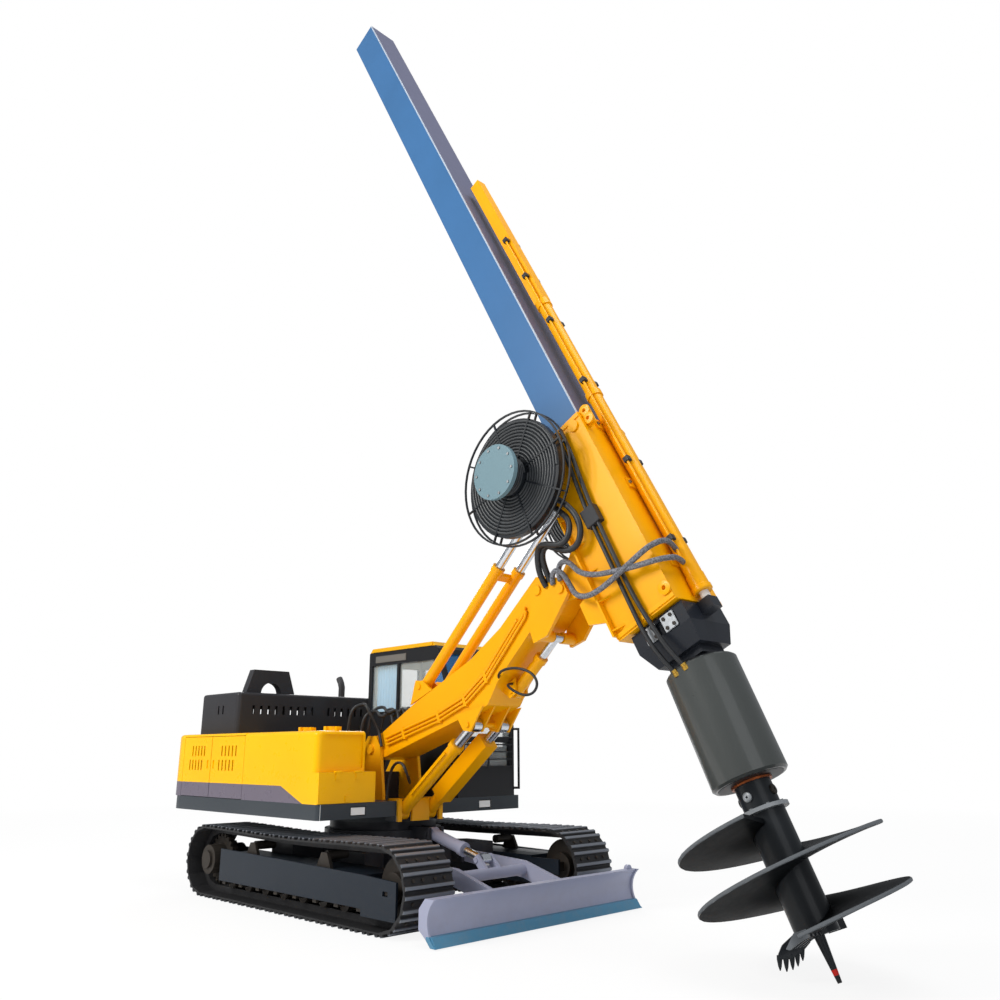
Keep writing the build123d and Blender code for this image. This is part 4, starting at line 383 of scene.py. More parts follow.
def deck_mark(tree, place):
    """White lamp lenses in the deck's front, and yellow foot brackets over the plate."""
    axes = add_node(tree, "ShaderNodeSeparateXYZ", {"Vector": place})
    over = add_node(tree, "ShaderNodeMath", {0: axes.outputs["Z"], 1: 1.1265}, operation="GREATER_THAN")
    span = add_node(tree, "ShaderNodeMath", {0: axes.outputs["Y"], 1: GEAR_Y}, operation="SUBTRACT")
    wide = add_node(tree, "ShaderNodeMath", {0: span}, operation="ABSOLUTE")
    mid = add_node(tree, "ShaderNodeMath", {0: wide, 1: 0.331}, operation="LESS_THAN")
    nose = add_node(tree, "ShaderNodeMath", {0: axes.outputs["X"], 1: 0.8595}, operation="GREATER_THAN")
    foot = add_node(tree, "ShaderNodeMath", {0: over, 1: nose}, operation="MAXIMUM")
    bracket = add_node(tree, "ShaderNodeMath", {0: foot, 1: mid}, operation="MULTIPLY")
    lens_front = add_node(tree, "ShaderNodeMath", {0: axes.outputs["X"], 1: 0.8525, 2: 0.0008},
                          operation="COMPARE")
    return [(bracket, "F3AE0C"), (lens_front, "F4F6F6")]


def cab_mark(tree, place):
    """Yellow roof edge over the black cab, and a pale lining inside it."""
    axes = add_node(tree, "ShaderNodeSeparateXYZ", {"Vector": place})
    roof = add_node(tree, "ShaderNodeMath", {0: axes.outputs["Z"], 1: 2.982}, operation="GREATER_THAN")
    off = add_node(tree, "ShaderNodeMath", {0: axes.outputs["Y"], 1: CAB_MID_Y}, operation="SUBTRACT")
    span = add_node(tree, "ShaderNodeMath", {0: off}, operation="ABSOLUTE")
    within = add_node(tree, "ShaderNodeMath", {0: span, 1: CAB_HALF_INSIDE}, operation="LESS_THAN")
    under = add_node(tree, "ShaderNodeMath", {0: axes.outputs["Z"], 1: 2.978}, operation="LESS_THAN")
    ahead = add_node(tree, "ShaderNodeMath", {0: axes.outputs["X"], 1: -0.955}, operation="GREATER_THAN")
    behind = add_node(tree, "ShaderNodeMath", {0: axes.outputs["X"], 1: 0.30}, operation="LESS_THAN")
    boxed = add_node(tree, "ShaderNodeMath", {0: within, 1: under}, operation="MULTIPLY")
    length = add_node(tree, "ShaderNodeMath", {0: ahead, 1: behind}, operation="MULTIPLY")
    lined = add_node(tree, "ShaderNodeMath", {0: boxed, 1: length}, operation="MULTIPLY")
    return [(roof, "F2B40E"), (lined, "CFC9B4")]


def cap_mark(tree, place):
    """Pale cap on a reel's outboard end."""
    axes = add_node(tree, "ShaderNodeSeparateXYZ", {"Vector": place})
    off = add_node(tree, "ShaderNodeMath", {0: axes.outputs["Y"], 1: GEAR_Y}, operation="SUBTRACT")
    span = add_node(tree, "ShaderNodeMath", {0: off}, operation="ABSOLUTE")
    outer = add_node(tree, "ShaderNodeMath", {0: span, 1: REEL_OUT + 0.3195}, operation="GREATER_THAN")
    return [(outer, "6F8B95")]


def auger_mark(tree, place):
    """Bare flange under the coupling, a worn rim, and a red ring near the pilot's tip."""
    turned = add_node(tree, "ShaderNodeMapping", {"Vector": place, "Rotation": (0, HEAD_LEAN, 0)},
                      vector_type="POINT")
    axes = add_node(tree, "ShaderNodeSeparateXYZ", {"Vector": turned})
    top = Matrix.Rotation(HEAD_LEAN, 3, "Y") @ HEAD_TOP
    flange = add_node(tree, "ShaderNodeMath", {0: axes.outputs["Z"], 1: top.z - 1.285, 2: 0.017},
                      operation="COMPARE")
    off = add_node(tree, "ShaderNodeVectorMath", {0: turned, 1: (top.x, GEAR_Y, 0)}, operation="SUBTRACT")
    level_off = add_node(tree, "ShaderNodeVectorMath", {0: off, 1: (1, 1, 0)}, operation="MULTIPLY")
    reach = add_node(tree, "ShaderNodeVectorMath", {0: level_off}, operation="LENGTH")
    rim = add_node(tree, "ShaderNodeMapRange", {"Value": reach.outputs["Value"], 1: 0.794, 2: 0.802, 3: 0.0,
                                                4: 0.8})
    band = add_node(tree, "ShaderNodeMath", {0: axes.outputs["Z"], 1: top.z - 2.490, 2: 0.020},
                    operation="COMPARE")
    return [(flange, "8E9296"), (rim, "6E7276"), (band, "D8281E")]


def rod_mark(tree, place):
    """Bright crowd rod over the dark foot block."""
    turned = add_node(tree, "ShaderNodeMapping", {"Vector": place, "Rotation": (0, MAST_LEAN, 0)},
                      vector_type="POINT")
    axes = add_node(tree, "ShaderNodeSeparateXYZ", {"Vector": turned})
    root = Matrix.Rotation(MAST_LEAN, 3, "Y") @ on_mast(-2.700, 0.325)
    ahead = add_node(tree, "ShaderNodeMath", {0: axes.outputs["X"], 1: root.x}, operation="GREATER_THAN")
    over = add_node(tree, "ShaderNodeMath", {0: axes.outputs["Z"], 1: root.z}, operation="GREATER_THAN")
    rod = add_node(tree, "ShaderNodeMath", {0: ahead, 1: over}, operation="MULTIPLY")
    return [(rod, "E6E4E0")]


# %% Finishes of the rigid pieces
yellow = enamel("machine_yellow_enamel", "FAB200", "F4A600", 0.28, 0.05)
banded = enamel("banded_yellow_enamel", "FCC000", "F6B200", 0.26, 0.06, mark=band_mark)
charcoal = enamel("charcoal_powder_coat", "38383B", "2C2C30", 0.40, 0.1)
slate = enamel("slate_enamel", "3C4248", "343A40", 0.34, 0.1, dust_share=0.1, mark=deck_mark)
bar_paint = enamel("drill_bar_enamel", "3E70A4", "366492", 0.32, 0.1, mark=bar_mark)
blade_paint = enamel("blade_enamel", "A6AAC0", "989CB4", 0.34, 0.1, dust_top=0.5, dust_share=0.2,
                     mark=blade_mark)
frame_paint = enamel("track_frame_enamel", "1E2732", "19212B", 0.42, 0.05, dust_top=0.8, dust_share=0.03)
head_paint = enamel("power_head_enamel", "484B4A", "404342", 0.27, 0.3)
block_paint = enamel("foot_block_enamel", "22262E", "1B1E24", 0.34, 0.1, mark=rod_mark)
reel_paint = enamel("black_reel_enamel", "1B1E22", "25292E", 0.34, 0.1, mark=cap_mark)
valve_paint = enamel("valve_block_enamel", "2B2C2E", "35363A", 0.45, 0.1)
car_paint = enamel("car_body_enamel", "33343A", "2A2B30", 0.42, 0.1, dust_top=0.9, dust_share=0.15)
panel_paint = enamel("grey_panel_enamel", "7A7874", "6C6A66", 0.5, 0.1)
cab_paint = enamel("black_cab_enamel", "26272A", "1E1F22", 0.32, 0.15, mark=cab_mark)
flight_paint = enamel("black_flight_enamel", "0B0D10", "111417", 0.5, 0.0, dust_top=0.1, dust_share=0.1,
                      mark=auger_mark, gloss=0.04)
auger_paint = enamel("black_auger_enamel", "191C20", "23272B", 0.32, 0.1, dust_top=0.1, dust_share=0.1,
                     mark=auger_mark)
copper = worn_metal("burnished_copper", "B8683C", "8E4A28", 0.35, 0.9, 30.0)
gear_steel = worn_metal("cast_running_gear", "26241F", "403832", 0.55, 0.3, 9.0)
chrome = worn_metal("ground_hard_chrome", "D9DCE0", "C4C8CE", 0.10, 1.0, 40.0)
bolt_steel = worn_metal("zinc_plated_steel", "8C8F92", "6E7174", 0.32, 1.0, 60.0)
plate_steel = worn_metal("bare_plate_steel", "B4B8BC", "8E9296", 0.38, 0.9, 20.0)
brass = worn_metal("turned_brass", "C8A24A", "A8843A", 0.28, 1.0, 50.0)
shoe_steel = track_steel()
print("finishes", len(bpy.data.materials))

# %% [markdown]
# ## Rubber, glass and cloth
# Hoses are extruded rubber with a dull bloom; two of them wear a grey textile sleeve. The cab's
# panes are thin safety glass, and a light-blue cotton curtain hangs behind the rear one.

# %% Soft and clear finishes
def rubber(name, code, shade, roughness, weave_mm=None):
    """Hose rubber, with a textile weave where weave_mm is given."""
    material, tree, place, shader = new_material(name)
    scale = 1000.0 / weave_mm if weave_mm else 30.0
    pattern = add_node(tree, "ShaderNodeTexVoronoi", {"Vector": place, "Scale": scale}) if weave_mm else \
        add_node(tree, "ShaderNodeTexNoise", {"Vector": place, "Scale": scale, "Detail": 4.0})
    value = pattern.outputs["Distance"] if weave_mm else pattern.outputs["Fac"]
    tone = add_node(tree, "ShaderNodeMix", {"Factor": value, 6: paint(code), 7: paint(shade)},
                    data_type="RGBA")
    tree.links.new(tone.outputs[2], shader.inputs["Base Color"])
    bump = add_node(tree, "ShaderNodeBump", {"Height": value, "Strength": 0.3, "Distance": 0.002})
    tree.links.new(bump.outputs[0], shader.inputs["Normal"])
    shader.inputs["Roughness"].default_value = roughness
    return material


def safety_glass(name, code):
    """Thin tinted pane."""
    material, tree, place, shader = new_material(name)
    smear = add_node(tree, "ShaderNodeTexNoise", {"Vector": place, "Scale": 6.0, "Detail": 3.0})
    haze = add_node(tree, "ShaderNodeMapRange", {"Value": smear.outputs["Fac"], 1: 0.35, 2: 0.75, 3: 0.0,
                                                 4: 0.06})
    tree.links.new(haze.outputs[0], shader.inputs["Roughness"])
    shader.inputs["IOR"].default_value = 1.5
    # A thin pane barely bends light, so it is drawn by a low alpha, which also lets the light in;
    # the upper windscreen and the skylight wear a deep blue sun tint
    axes = add_node(tree, "ShaderNodeSeparateXYZ", {"Vector": place})
    ahead = add_node(tree, "ShaderNodeMath", {0: axes.outputs["X"], 1: 0.34}, operation="GREATER_THAN")
    screen = add_node(tree, "ShaderNodeMath", {0: axes.outputs["Z"], 1: 2.42}, operation="GREATER_THAN")
    strip = add_node(tree, "ShaderNodeMath", {0: ahead, 1: screen}, operation="MULTIPLY")
    roof = add_node(tree, "ShaderNodeMath", {0: axes.outputs["Z"], 1: 2.95}, operation="GREATER_THAN")
    sun = add_node(tree, "ShaderNodeMath", {0: strip, 1: roof}, operation="MAXIMUM")
    tint = add_node(tree, "ShaderNodeMix", {"Factor": sun, 6: paint(code), 7: paint("2C74B4")},
                    data_type="RGBA")
    tree.links.new(tint.outputs[2], shader.inputs["Base Color"])
    cover = add_node(tree, "ShaderNodeMapRange", {"Value": sun, 1: 0.0, 2: 1.0, 3: 0.2, 4: 0.7})
    tree.links.new(cover.outputs[0], shader.inputs["Alpha"])
    return material


hose_rubber = rubber("extruded_hose_rubber", "17181A", "26282B", 0.48)
sleeve = rubber("grey_textile_sleeve", "1A1C20", "8C8E96", 0.7, weave_mm=16.0)
wound_rubber = rubber("wound_hose_rubber", "1E2124", "34383C", 0.42)
seat_cloth = rubber("seat_cloth", "9A9C9E", "7E8082", 0.85, weave_mm=8.0)
glass = safety_glass("safety_glass", "E8F2F4")

# %% Give every solid its finish
FINISHES = (
    (yellow, "boom carrier mast crowd_barrel lift_barrels tilt_barrels under_barrel"),
    (banded, "tank toolbox toolbox_lid side_bay_right side_bay_left pump_door rear_door_right radiator_door "
             "rear_door_left counterweight"),
    (charcoal, "hood engine"),
    (slate, "deck"),
    (cab_paint, "cab_shell cab_door"),
    (bar_paint, "outer_bar"),
    (blade_paint, "blade blade_barrel"),
    (frame_paint, "track_frame_right track_frame_left"),
    (gear_steel, "running_gear_right running_gear_left"),
    (shoe_steel, "track_right track_left"),
    (chrome, "lift_rods tilt_rods under_rod blade_rod"),
    (head_paint, "power_head"),
    (block_paint, "foot_block inner_bar"),
    (auger_paint, "auger"),
    (reel_paint, "hose_reel_right hose_reel_left"),
    (car_paint, "car_body"),
    (seat_cloth, "seat"),
    (glass, "cab_glass door_glass"),
)
for finish, names in FINISHES:
    for name in names.split():
        nodes[name].data.materials.clear()
        nodes[name].data.materials.append(finish)
bare = [name for name, piece in nodes.items() if not piece.data.materials]
print("solids without a finish", bare)

# %% [markdown]
# ## Hoses
# A hose is a curve through a few points that bends as little as it can, so each is a NURBS
# spline with a round bevel. A hose that crosses a joint becomes a plain mesh that runs between
# the two bodies; one that stays on a body keeps its curve and is attached to that body.

# %% Hose helpers
def hose_curve(name, points, radius, finish):
    """Open NURBS spline through control points, with a round section."""
    curve = bpy.data.curves.new(name, "CURVE")
    curve.dimensions = "3D"
    curve.resolution_u = 8
    curve.bevel_depth = radius
    curve.bevel_resolution = 3
    curve.use_fill_caps = True
    line = curve.splines.new("NURBS")
    line.points.add(len(points) - 1)
    for point, place in zip(line.points, points):
        point.co = (*place, 1.0)
    line.order_u = 3
    line.use_endpoint_u = True
    line.resolution_u = 8
    curve.materials.append(finish)
    piece = bpy.data.objects.new(name, curve)
    bpy.context.scene.collection.objects.link(piece)
    return piece


def as_mesh(piece):
    """Plain mesh object in place of a curve or of a modifier's result."""
    bpy.context.view_layer.update()
    mesh = bpy.data.meshes.new_from_object(piece.evaluated_get(bpy.context.evaluated_depsgraph_get()))
    name = piece.name
    bpy.data.objects.remove(piece)
    made = bpy.data.objects.new(name, mesh)
    mesh.name = name
    for polygon in mesh.polygons:
        polygon.use_smooth = True
    bpy.context.scene.collection.objects.link(made)
    return made


def bending_hose(name, points, radius, finish):
    """Hose mesh that runs between two bodies, from start to end, fixed in world place."""
    piece = as_mesh(hose_curve(name, points, radius, finish))
    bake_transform(piece)


# %% Two hoses from the right reel down the mast to the power head
HOSE_RADIUS = 0.022
PAIR_PARTS_AT = -2.7
# Centre line of the pair on the mast: s, t, y
PAIR_ROUTE = ((-0.46, 0.03, -0.44), (-0.75, 0.02, -0.43), (-1.06, -0.02, -0.43), (-1.49, -0.06, -0.43),
              (-1.97, -0.07, -0.43),
              (-2.45, -0.08, -0.43), (-2.80, -0.07, -0.42), (-3.05, -0.05, -0.39), (-3.24, -0.02, -0.305))
# The two part towards their fittings on the power head
for index, (shift, spread) in enumerate(((-0.034, -0.054), (0.034, 0.054))):
    route = [on_mast(s, t + (shift if s > PAIR_PARTS_AT else spread), y) for s, t, y in PAIR_ROUTE]
    bending_hose(f"head_hose_{index + 1}", route, HOSE_RADIUS, hose_rubber)

# %% Two sleeved hoses from the carrier to the crowd cylinder
SLEEVED_RADIUS = 0.027
SLEEVED_ROUTES = (
    ((-1.745, -0.775, -0.318), (-1.66, -0.755, -0.325), (-1.60, -0.68, -0.34), (-1.65, -0.58, -0.38),
     (-1.76, -0.50, -0.43), (-1.92, -0.43, -0.49), (-2.06, -0.28, -0.50), (-2.16, -0.08, -0.50),
     (-2.26, 0.14, -0.49), (-2.32, 0.33, -0.46), (-2.33, 0.42, -0.34), (-2.31, 0.42, -0.20),
     (-2.31, 0.38, -0.07)),
    ((-1.725, -0.875, -0.318), (-1.64, -0.845, -0.325), (-1.62, -0.76, -0.34), (-1.72, -0.68, -0.37),
     (-1.90, -0.62, -0.43), (-2.09, -0.57, -0.49), (-2.19, -0.45, -0.50), (-2.22, -0.26, -0.50),
     (-2.22, -0.06, -0.51), (-2.20, 0.16, -0.50), (-2.17, 0.35, -0.46), (-2.14, 0.44, -0.32),
     (-2.15, 0.43, -0.20), (-2.17, 0.38, -0.07)))
for index, route in enumerate(SLEEVED_ROUTES):
    bending_hose(f"crowd_hose_{index + 1}", [on_mast(*place) for place in route], SLEEVED_RADIUS, sleeve)

# %% Two loops from the reel's stub to the carrier
LOOP_RADIUS = 0.031
LOOP_ROUTES = (
    ((-0.90, -0.42, -0.38), (-1.02, -0.36, -0.47), (-1.19, -0.24, -0.50), (-1.40, -0.17, -0.50),
     (-1.58, -0.19, -0.50), (-1.69, -0.30, -0.50),
     (-1.66, -0.44, -0.50), (-1.53, -0.56, -0.49), (-1.41, -0.66, -0.46), (-1.42, -0.78, -0.42),
     (-1.54, -0.86, -0.36), (-1.66, -0.90, -0.30)),
    ((-1.00, -0.42, -0.38), (-1.12, -0.40, -0.445), (-1.24, -0.33, -0.480), (-1.40, -0.26, -0.515),
     (-1.54, -0.29, -0.545), (-1.60, -0.39, -0.555),
     (-1.55, -0.50, -0.560), (-1.44, -0.62, -0.540), (-1.37, -0.74, -0.48), (-1.44, -0.86, -0.42),
     (-1.58, -0.95, -0.36), (-1.68, -0.97, -0.30)))
for index, route in enumerate(LOOP_ROUTES):
    bending_hose(f"reel_hose_{index + 1}", [on_mast(*place) for place in route], LOOP_RADIUS, hose_rubber)

# %% Hoses that arch from the valve block to the boom's foot
# Each arch: y at the deck, y on the boom, X where it lands, height of its top
ARCHES = ((-0.70, -0.438, 0.49, 2.16), (-0.58, -0.340, 0.58, 2.08), (-0.51, -0.285, 0.63, 2.13),
          (-0.36, -0.225, 0.67, 2.11),
          (-0.28, -0.165, 0.71, 2.06), (-0.20, -0.105, 0.75, 2.10), (-0.12, -0.045, 0.80, 2.05))
ARCH_RADIUS = 0.019
# The first arch lands on the boom's side, lower than the others
FIRST_ARCH_DROP = 0.17
# Top edge of the boom near its foot: where it starts, and its rise
BOOM_TOP_START = Vector((0.441, 0, 1.874))
BOOM_TOP_RISE = (2.197 - 1.874) / (1.043 - 0.441)
for index, (y_deck, y_boom, land, top) in enumerate(ARCHES):
    seat_z = BOOM_TOP_START.z + (land - BOOM_TOP_START.x) * BOOM_TOP_RISE
    if index == 0:
        seat_z -= FIRST_ARCH_DROP
    start = Vector((0.12, y_deck, 1.42))
    middle = (y_deck + y_boom) / 2
    route = [start, start + Vector((0.0, 0, 0.22)), Vector((land - 0.32, y_deck, top - 0.28)),
             Vector((land - 0.27, y_deck, top)),
             Vector((land - 0.17, middle, top + 0.06)), Vector((land - 0.10, middle, top - 0.04)),
             Vector((land - 0.07, y_boom, seat_z + 0.18)),
             Vector((land - 0.02, y_boom, seat_z + 0.06)), Vector((land, y_boom, seat_z - 0.01))]
    bending_hose(f"foot_hose_{index + 1}", route, ARCH_RADIUS, hose_rubber)

# %% Short loops at the lift cylinders' feet
THIN_RADIUS = 0.014
for side, sign in SIDES:
    for index, shift in enumerate((0.0, 0.045)):
        y_out = GEAR_Y + sign * (0.345 + shift)
        route = [Vector((0.70 + shift, y_out, 1.135)), Vector((0.70 + shift, y_out, 1.26)),
                 Vector((0.76 + shift, y_out, 1.46)),
                 Vector((0.86 + shift, y_out, 1.55)), Vector((0.98 + shift, y_out, 1.53)),
                 Vector((1.04 + shift, y_out, 1.44)),
                 Vector((1.02 + shift / 2, GEAR_Y + sign * 0.30, 1.36)),
                 Vector((0.97, GEAR_Y + sign * 0.24, 1.32))]
        bending_hose(f"lift_hose_{side}_{index + 1}", route, THIN_RADIUS, hose_rubber)

# %% Loop of hose at the boom's elbow
ELBOW_LOOP = [Vector(place) for place in (
    (2.400, -0.385, 2.400), (2.440, -0.440, 2.430), (2.560, -0.475, 2.475), (2.760, -0.480, 2.480),
    (2.960, -0.475, 2.420), (3.040, -0.470, 2.310),
    (2.980, -0.465, 2.215), (2.840, -0.460, 2.195), (2.680, -0.450, 2.250), (2.560, -0.420, 2.310),
    (2.500, -0.340, 2.335), (2.465, -0.250, 2.345))]
elbow_hose = hose_curve("elbow_hose", ELBOW_LOOP, THIN_RADIUS, hose_rubber)
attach(elbow_hose, "boom")

# %% [markdown]
# ## Wound reels
# Hose on a reel is one long spiral, which is a rule, so a node tree draws it: a spiral line, a
# round section swept along it, and a turn that lays it on the drum.

# %% Spiral winding
def tree_with(name, *sockets):
    """New geometry node tree with named inputs; each is a name, a kind and a value."""
    tree = bpy.data.node_groups.new(name, "GeometryNodeTree")
    for title, kind, value in sockets:
        made = tree.interface.new_socket(title, in_out="INPUT", socket_type=kind)
        if value is not None:
            made.default_value = value
    tree.interface.new_socket("Geometry", in_out="OUTPUT", socket_type="NodeSocketGeometry")
    start = add_node(tree, "NodeGroupInput")
    end = add_node(tree, "NodeGroupOutput")
    return tree, start, end


def grown(name, tree, values, mesh=None):
    """Plain mesh that a node tree makes with these input values."""
    piece = bpy.data.objects.new(name, mesh or bpy.data.meshes.new(name + "_seed"))
    bpy.context.scene.collection.objects.link(piece)
    modifier = piece.modifiers.new("grow", "NODES")
    modifier.node_group = tree
    for item in tree.interface.items_tree:
        if item.in_out == "INPUT" and item.name in values:
            modifier[item.identifier] = values[item.name]
    return as_mesh(piece)


def winding_tree(finish):
    """Spiral of hose, laid flat on a drum's side."""
    tree, start, end = tree_with("hose_winding", ("Seed", "NodeSocketGeometry", None),
                                 ("Turns", "NodeSocketFloat", 10.0),
                                 ("Inner radius", "NodeSocketFloat", 0.2),
                                 ("Outer radius", "NodeSocketFloat", 0.6),
                                 ("Rise", "NodeSocketFloat", 0.0), ("Hose radius", "NodeSocketFloat", 0.02),
                                 ("Place", "NodeSocketVector", None))
    spiral = add_node(tree, "GeometryNodeCurveSpiral", {"Resolution": 40, "Rotations": start.outputs["Turns"],
                                                        "Start Radius": start.outputs["Inner radius"],
                                                        "End Radius": start.outputs["Outer radius"],
                                                        "Height": start.outputs["Rise"]})
    section = add_node(tree, "GeometryNodeCurvePrimitiveCircle",
                       {"Resolution": 8, "Radius": start.outputs["Hose radius"]})
    tube = add_node(tree, "GeometryNodeCurveToMesh",
                    {"Curve": spiral, "Profile Curve": section, "Fill Caps": True})
    laid = add_node(tree, "GeometryNodeTransform", {"Geometry": tube, "Translation": start.outputs["Place"],
                                                    "Rotation": (radians(90), 0, 0)})
    real = add_node(tree, "GeometryNodeRealizeInstances", {"Geometry": laid})
    painted = add_node(tree, "GeometryNodeSetMaterial", {"Geometry": real, "Material": finish})
    tree.links.new(painted.outputs[0], end.inputs[0])
    return tree


windings = winding_tree(wound_rubber)
DRUM = {"Turns": 11.0, "Inner radius": 0.215, "Outer radius": 0.612, "Hose radius": 0.0175}
COIL = {"Turns": 6.0, "Inner radius": 0.195, "Outer radius": 0.195, "Rise": -0.17, "Hose radius": 0.013}
for side, sign in SIDES:
    # Both sides of the drum, and the smaller coil round the hub
    coil_out = 0.13 if sign > 0 else 0.30
    for title, out, values in (("winding", 0.092, DRUM), ("winding_rear", 0.018, DRUM),
                               ("coil", coil_out, COIL)):
        laid_at = REEL_CENTRE + LEFT * sign * (REEL_OUT + out)
        wound = grown(f"reel_{title}_{side}", windings, {**values, "Place": laid_at})
        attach(wound, f"hose_reel_{side}")

# %% [markdown]
# ## Smooth shading of the round solids
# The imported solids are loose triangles. A node tree welds them, keeps edges sharper than thirty
# degrees and shades the rest smoothly; the Weighted Normal modifier then keeps flat faces flat.

# %% Weld and shade
def shade_tree():
    """Welds loose triangles and shades them smooth up to an angle."""
    tree, start, end = tree_with("weld_and_shade", ("Solid", "NodeSocketGeometry", None),
                                 ("Angle", "NodeSocketFloat", radians(30)))
    welded = add_node(tree, "GeometryNodeMergeByDistance",
                      {"Geometry": start.outputs["Solid"], "Distance": 0.00005})
    angle = add_node(tree, "GeometryNodeInputMeshEdgeAngle")
    sharp = add_node(tree, "FunctionNodeCompare",
                     {0: angle.outputs["Unsigned Angle"], 1: start.outputs["Angle"]},
                     data_type="FLOAT", operation="GREATER_THAN")
    smooth = add_node(tree, "GeometryNodeSetShadeSmooth", {"Geometry": welded, "Shade Smooth": True},
                      domain="FACE")
    edged = add_node(tree, "GeometryNodeSetShadeSmooth",
                     {"Geometry": smooth, "Selection": sharp, "Shade Smooth": False},
                     domain="EDGE")
    tree.links.new(edged.outputs[0], end.inputs[0])
    return tree


ROUND_SOLIDS = ("auger power_head crowd_barrel lift_barrels lift_rods tilt_barrels tilt_rods under_barrel "
                "under_rod blade blade_barrel blade_rod hose_reel_right hose_reel_left running_gear_right "
                "running_gear_left counterweight hood tank deck").split()
shading = shade_tree()
for name in ROUND_SOLIDS:
    modifier = nodes[name].modifiers.new("weld_and_shade", "NODES")
    modifier.node_group = shading
    # The auger goes without that modifier: its flight is twisted and has no flat faces
    if name != "auger":
        normals = nodes[name].modifiers.new("flat_faces", "WEIGHTED_NORMAL")
        normals.keep_sharp = True
print("smooth solids", len(ROUND_SOLIDS))

# %% [markdown]
# ## Bolts
# Bolt heads repeat by the hundred, so one node tree sets a small six-sided head on every point
# of a seed mesh and turns it to the direction stored there. Each body has its own seed.

# %% Bolt heads on points
def bolt_tree(finish):
    """Six-sided heads on the seed's points, along the facing attribute."""
    tree, start, end = tree_with("bolt_heads", ("Seed", "NodeSocketGeometry", None),
                                 ("Across", "NodeSocketFloat", 0.03),
                                 ("Height", "NodeSocketFloat", 0.014))
    half = add_node(tree, "ShaderNodeMath", {0: start.outputs["Across"], 1: 0.577}, operation="MULTIPLY")
    head = add_node(tree, "GeometryNodeMeshCylinder",
                    {"Vertices": 6, "Radius": half, "Depth": start.outputs["Height"]})
    facing = add_node(tree, "GeometryNodeInputNamedAttribute", {"Name": "facing"}, data_type="FLOAT_VECTOR")
    turned = add_node(tree, "FunctionNodeAlignRotationToVector", {"Vector": facing.outputs["Attribute"]},
                      axis="Z")
    points = add_node(tree, "GeometryNodeInstanceOnPoints",
                      {"Points": start.outputs["Seed"], "Instance": head.outputs["Mesh"],
                                                             "Rotation": turned})
    real = add_node(tree, "GeometryNodeRealizeInstances", {"Geometry": points})
    painted = add_node(tree, "GeometryNodeSetMaterial", {"Geometry": real, "Material": finish})
    tree.links.new(painted.outputs[0], end.inputs[0])
    return tree


bolts = bolt_tree(bolt_steel)
dark_bolts = bolt_tree(gear_steel)


def bolt_group(name, tree, places, across, body):
    """One mesh of bolt heads for one body; places are points with the way each head faces."""
    seed = bpy.data.meshes.new(name + "_seed")
    seed.from_pydata([point for point, way in places], [], [])
    facing = seed.attributes.new("facing", "FLOAT_VECTOR", "POINT")
    for item, (point, way) in zip(facing.data, places):
        item.vector = way
    piece = grown(name, tree, {"Across": across, "Height": across * 0.62}, seed)
    for polygon in piece.data.polygons:
        polygon.use_smooth = False
    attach(piece, body)


# %% Where the bolts sit
SHOE_COUNT = 48
SHOE_FACE = 0.379
GAUGE = 2.400


def loop_place(share):
    """Point on the shoe's face at a share of the track's loop, with its outward way."""
    turn_run = pi * SHOE_FACE
    run = (share % 1.0) * (2 * WHEELBASE + 2 * turn_run)
    front, rear = TRACK_AHEAD + WHEELBASE / 2, TRACK_AHEAD - WHEELBASE / 2
    if run < WHEELBASE:
        return Vector((rear + run, 0, WHEEL_Z - SHOE_FACE)), Vector((0, 0, -1))
    run -= WHEELBASE
    if run < turn_run:
        way = Vector((cos(run / SHOE_FACE - pi / 2), 0, sin(run / SHOE_FACE - pi / 2)))
        return Vector((front, 0, WHEEL_Z)) + way * SHOE_FACE, way
    run -= turn_run
    if run < WHEELBASE:
        sag = TRACK_SAG * sin(pi * run / WHEELBASE) ** 2
        return Vector((front - run, 0, WHEEL_Z + SHOE_FACE - sag)), Vector((0, 0, 1))
    angle = (run - WHEELBASE) / SHOE_FACE + pi / 2
    way = Vector((cos(angle), 0, sin(angle)))
    return Vector((rear, 0, WHEEL_Z)) + way * SHOE_FACE, way


def bolt_ring(centre, count, radius, ahead, beside, way):
    """Places of a ring of bolts, with the way that each head faces."""
    angles = [tau * index / count for index in range(count)]
    return [(centre + (ahead * cos(angle) + beside * sin(angle)) * radius, way) for angle in angles]


for side, sign in SIDES:
    places = []
    for shoe in range(SHOE_COUNT):
        point, way = loop_place((shoe + 0.5) / SHOE_COUNT)
        for across in (-0.19, -0.075, 0.075, 0.19):
            places.append((point + Vector((0, sign * GAUGE / 2 + across, 0)) + way * 0.004, way))
    bolt_group(f"shoe_bolts_{side}", dark_bolts, places, 0.030, "undercarriage")
    outboard = REEL_CENTRE + LEFT * sign * (REEL_OUT + 0.370)
    ring = bolt_ring(outboard, 10, 0.250, Vector((1, 0, 0)), Vector((0, 0, 1)), LEFT * sign)
    bolt_group(f"reel_cap_bolts_{side}", bolts, ring, 0.026, f"hose_reel_{side}")
head_ring = bolt_ring(HEAD_TOP, 14, 0.270, HEAD_BACK, LEFT, -DOWN)
bolt_group("head_bolts", bolts, head_ring, 0.034, "power_head")
flange_ring = bolt_ring(HEAD_TOP + DOWN * 1.268, 8, 0.186, HEAD_BACK, LEFT, -DOWN)
bolt_group("coupling_bolts", bolts, flange_ring, 0.028, "auger")
mast_places = []
for s in (-2.240, -1.290, -0.485):
    for y in (-0.120, 0.120):
        mast_places.append((on_mast(s, 0.324, y), AHEAD))
bolt_group("saddle_bolts", bolts, mast_places, 0.036, "mast")

# %% [markdown]
# ## Bolted plates on the foot block
# Two light steel plates are bolted to each side of the foot block. Each is a cut plate with a
# bevelled rim and a row of sunk bolts.

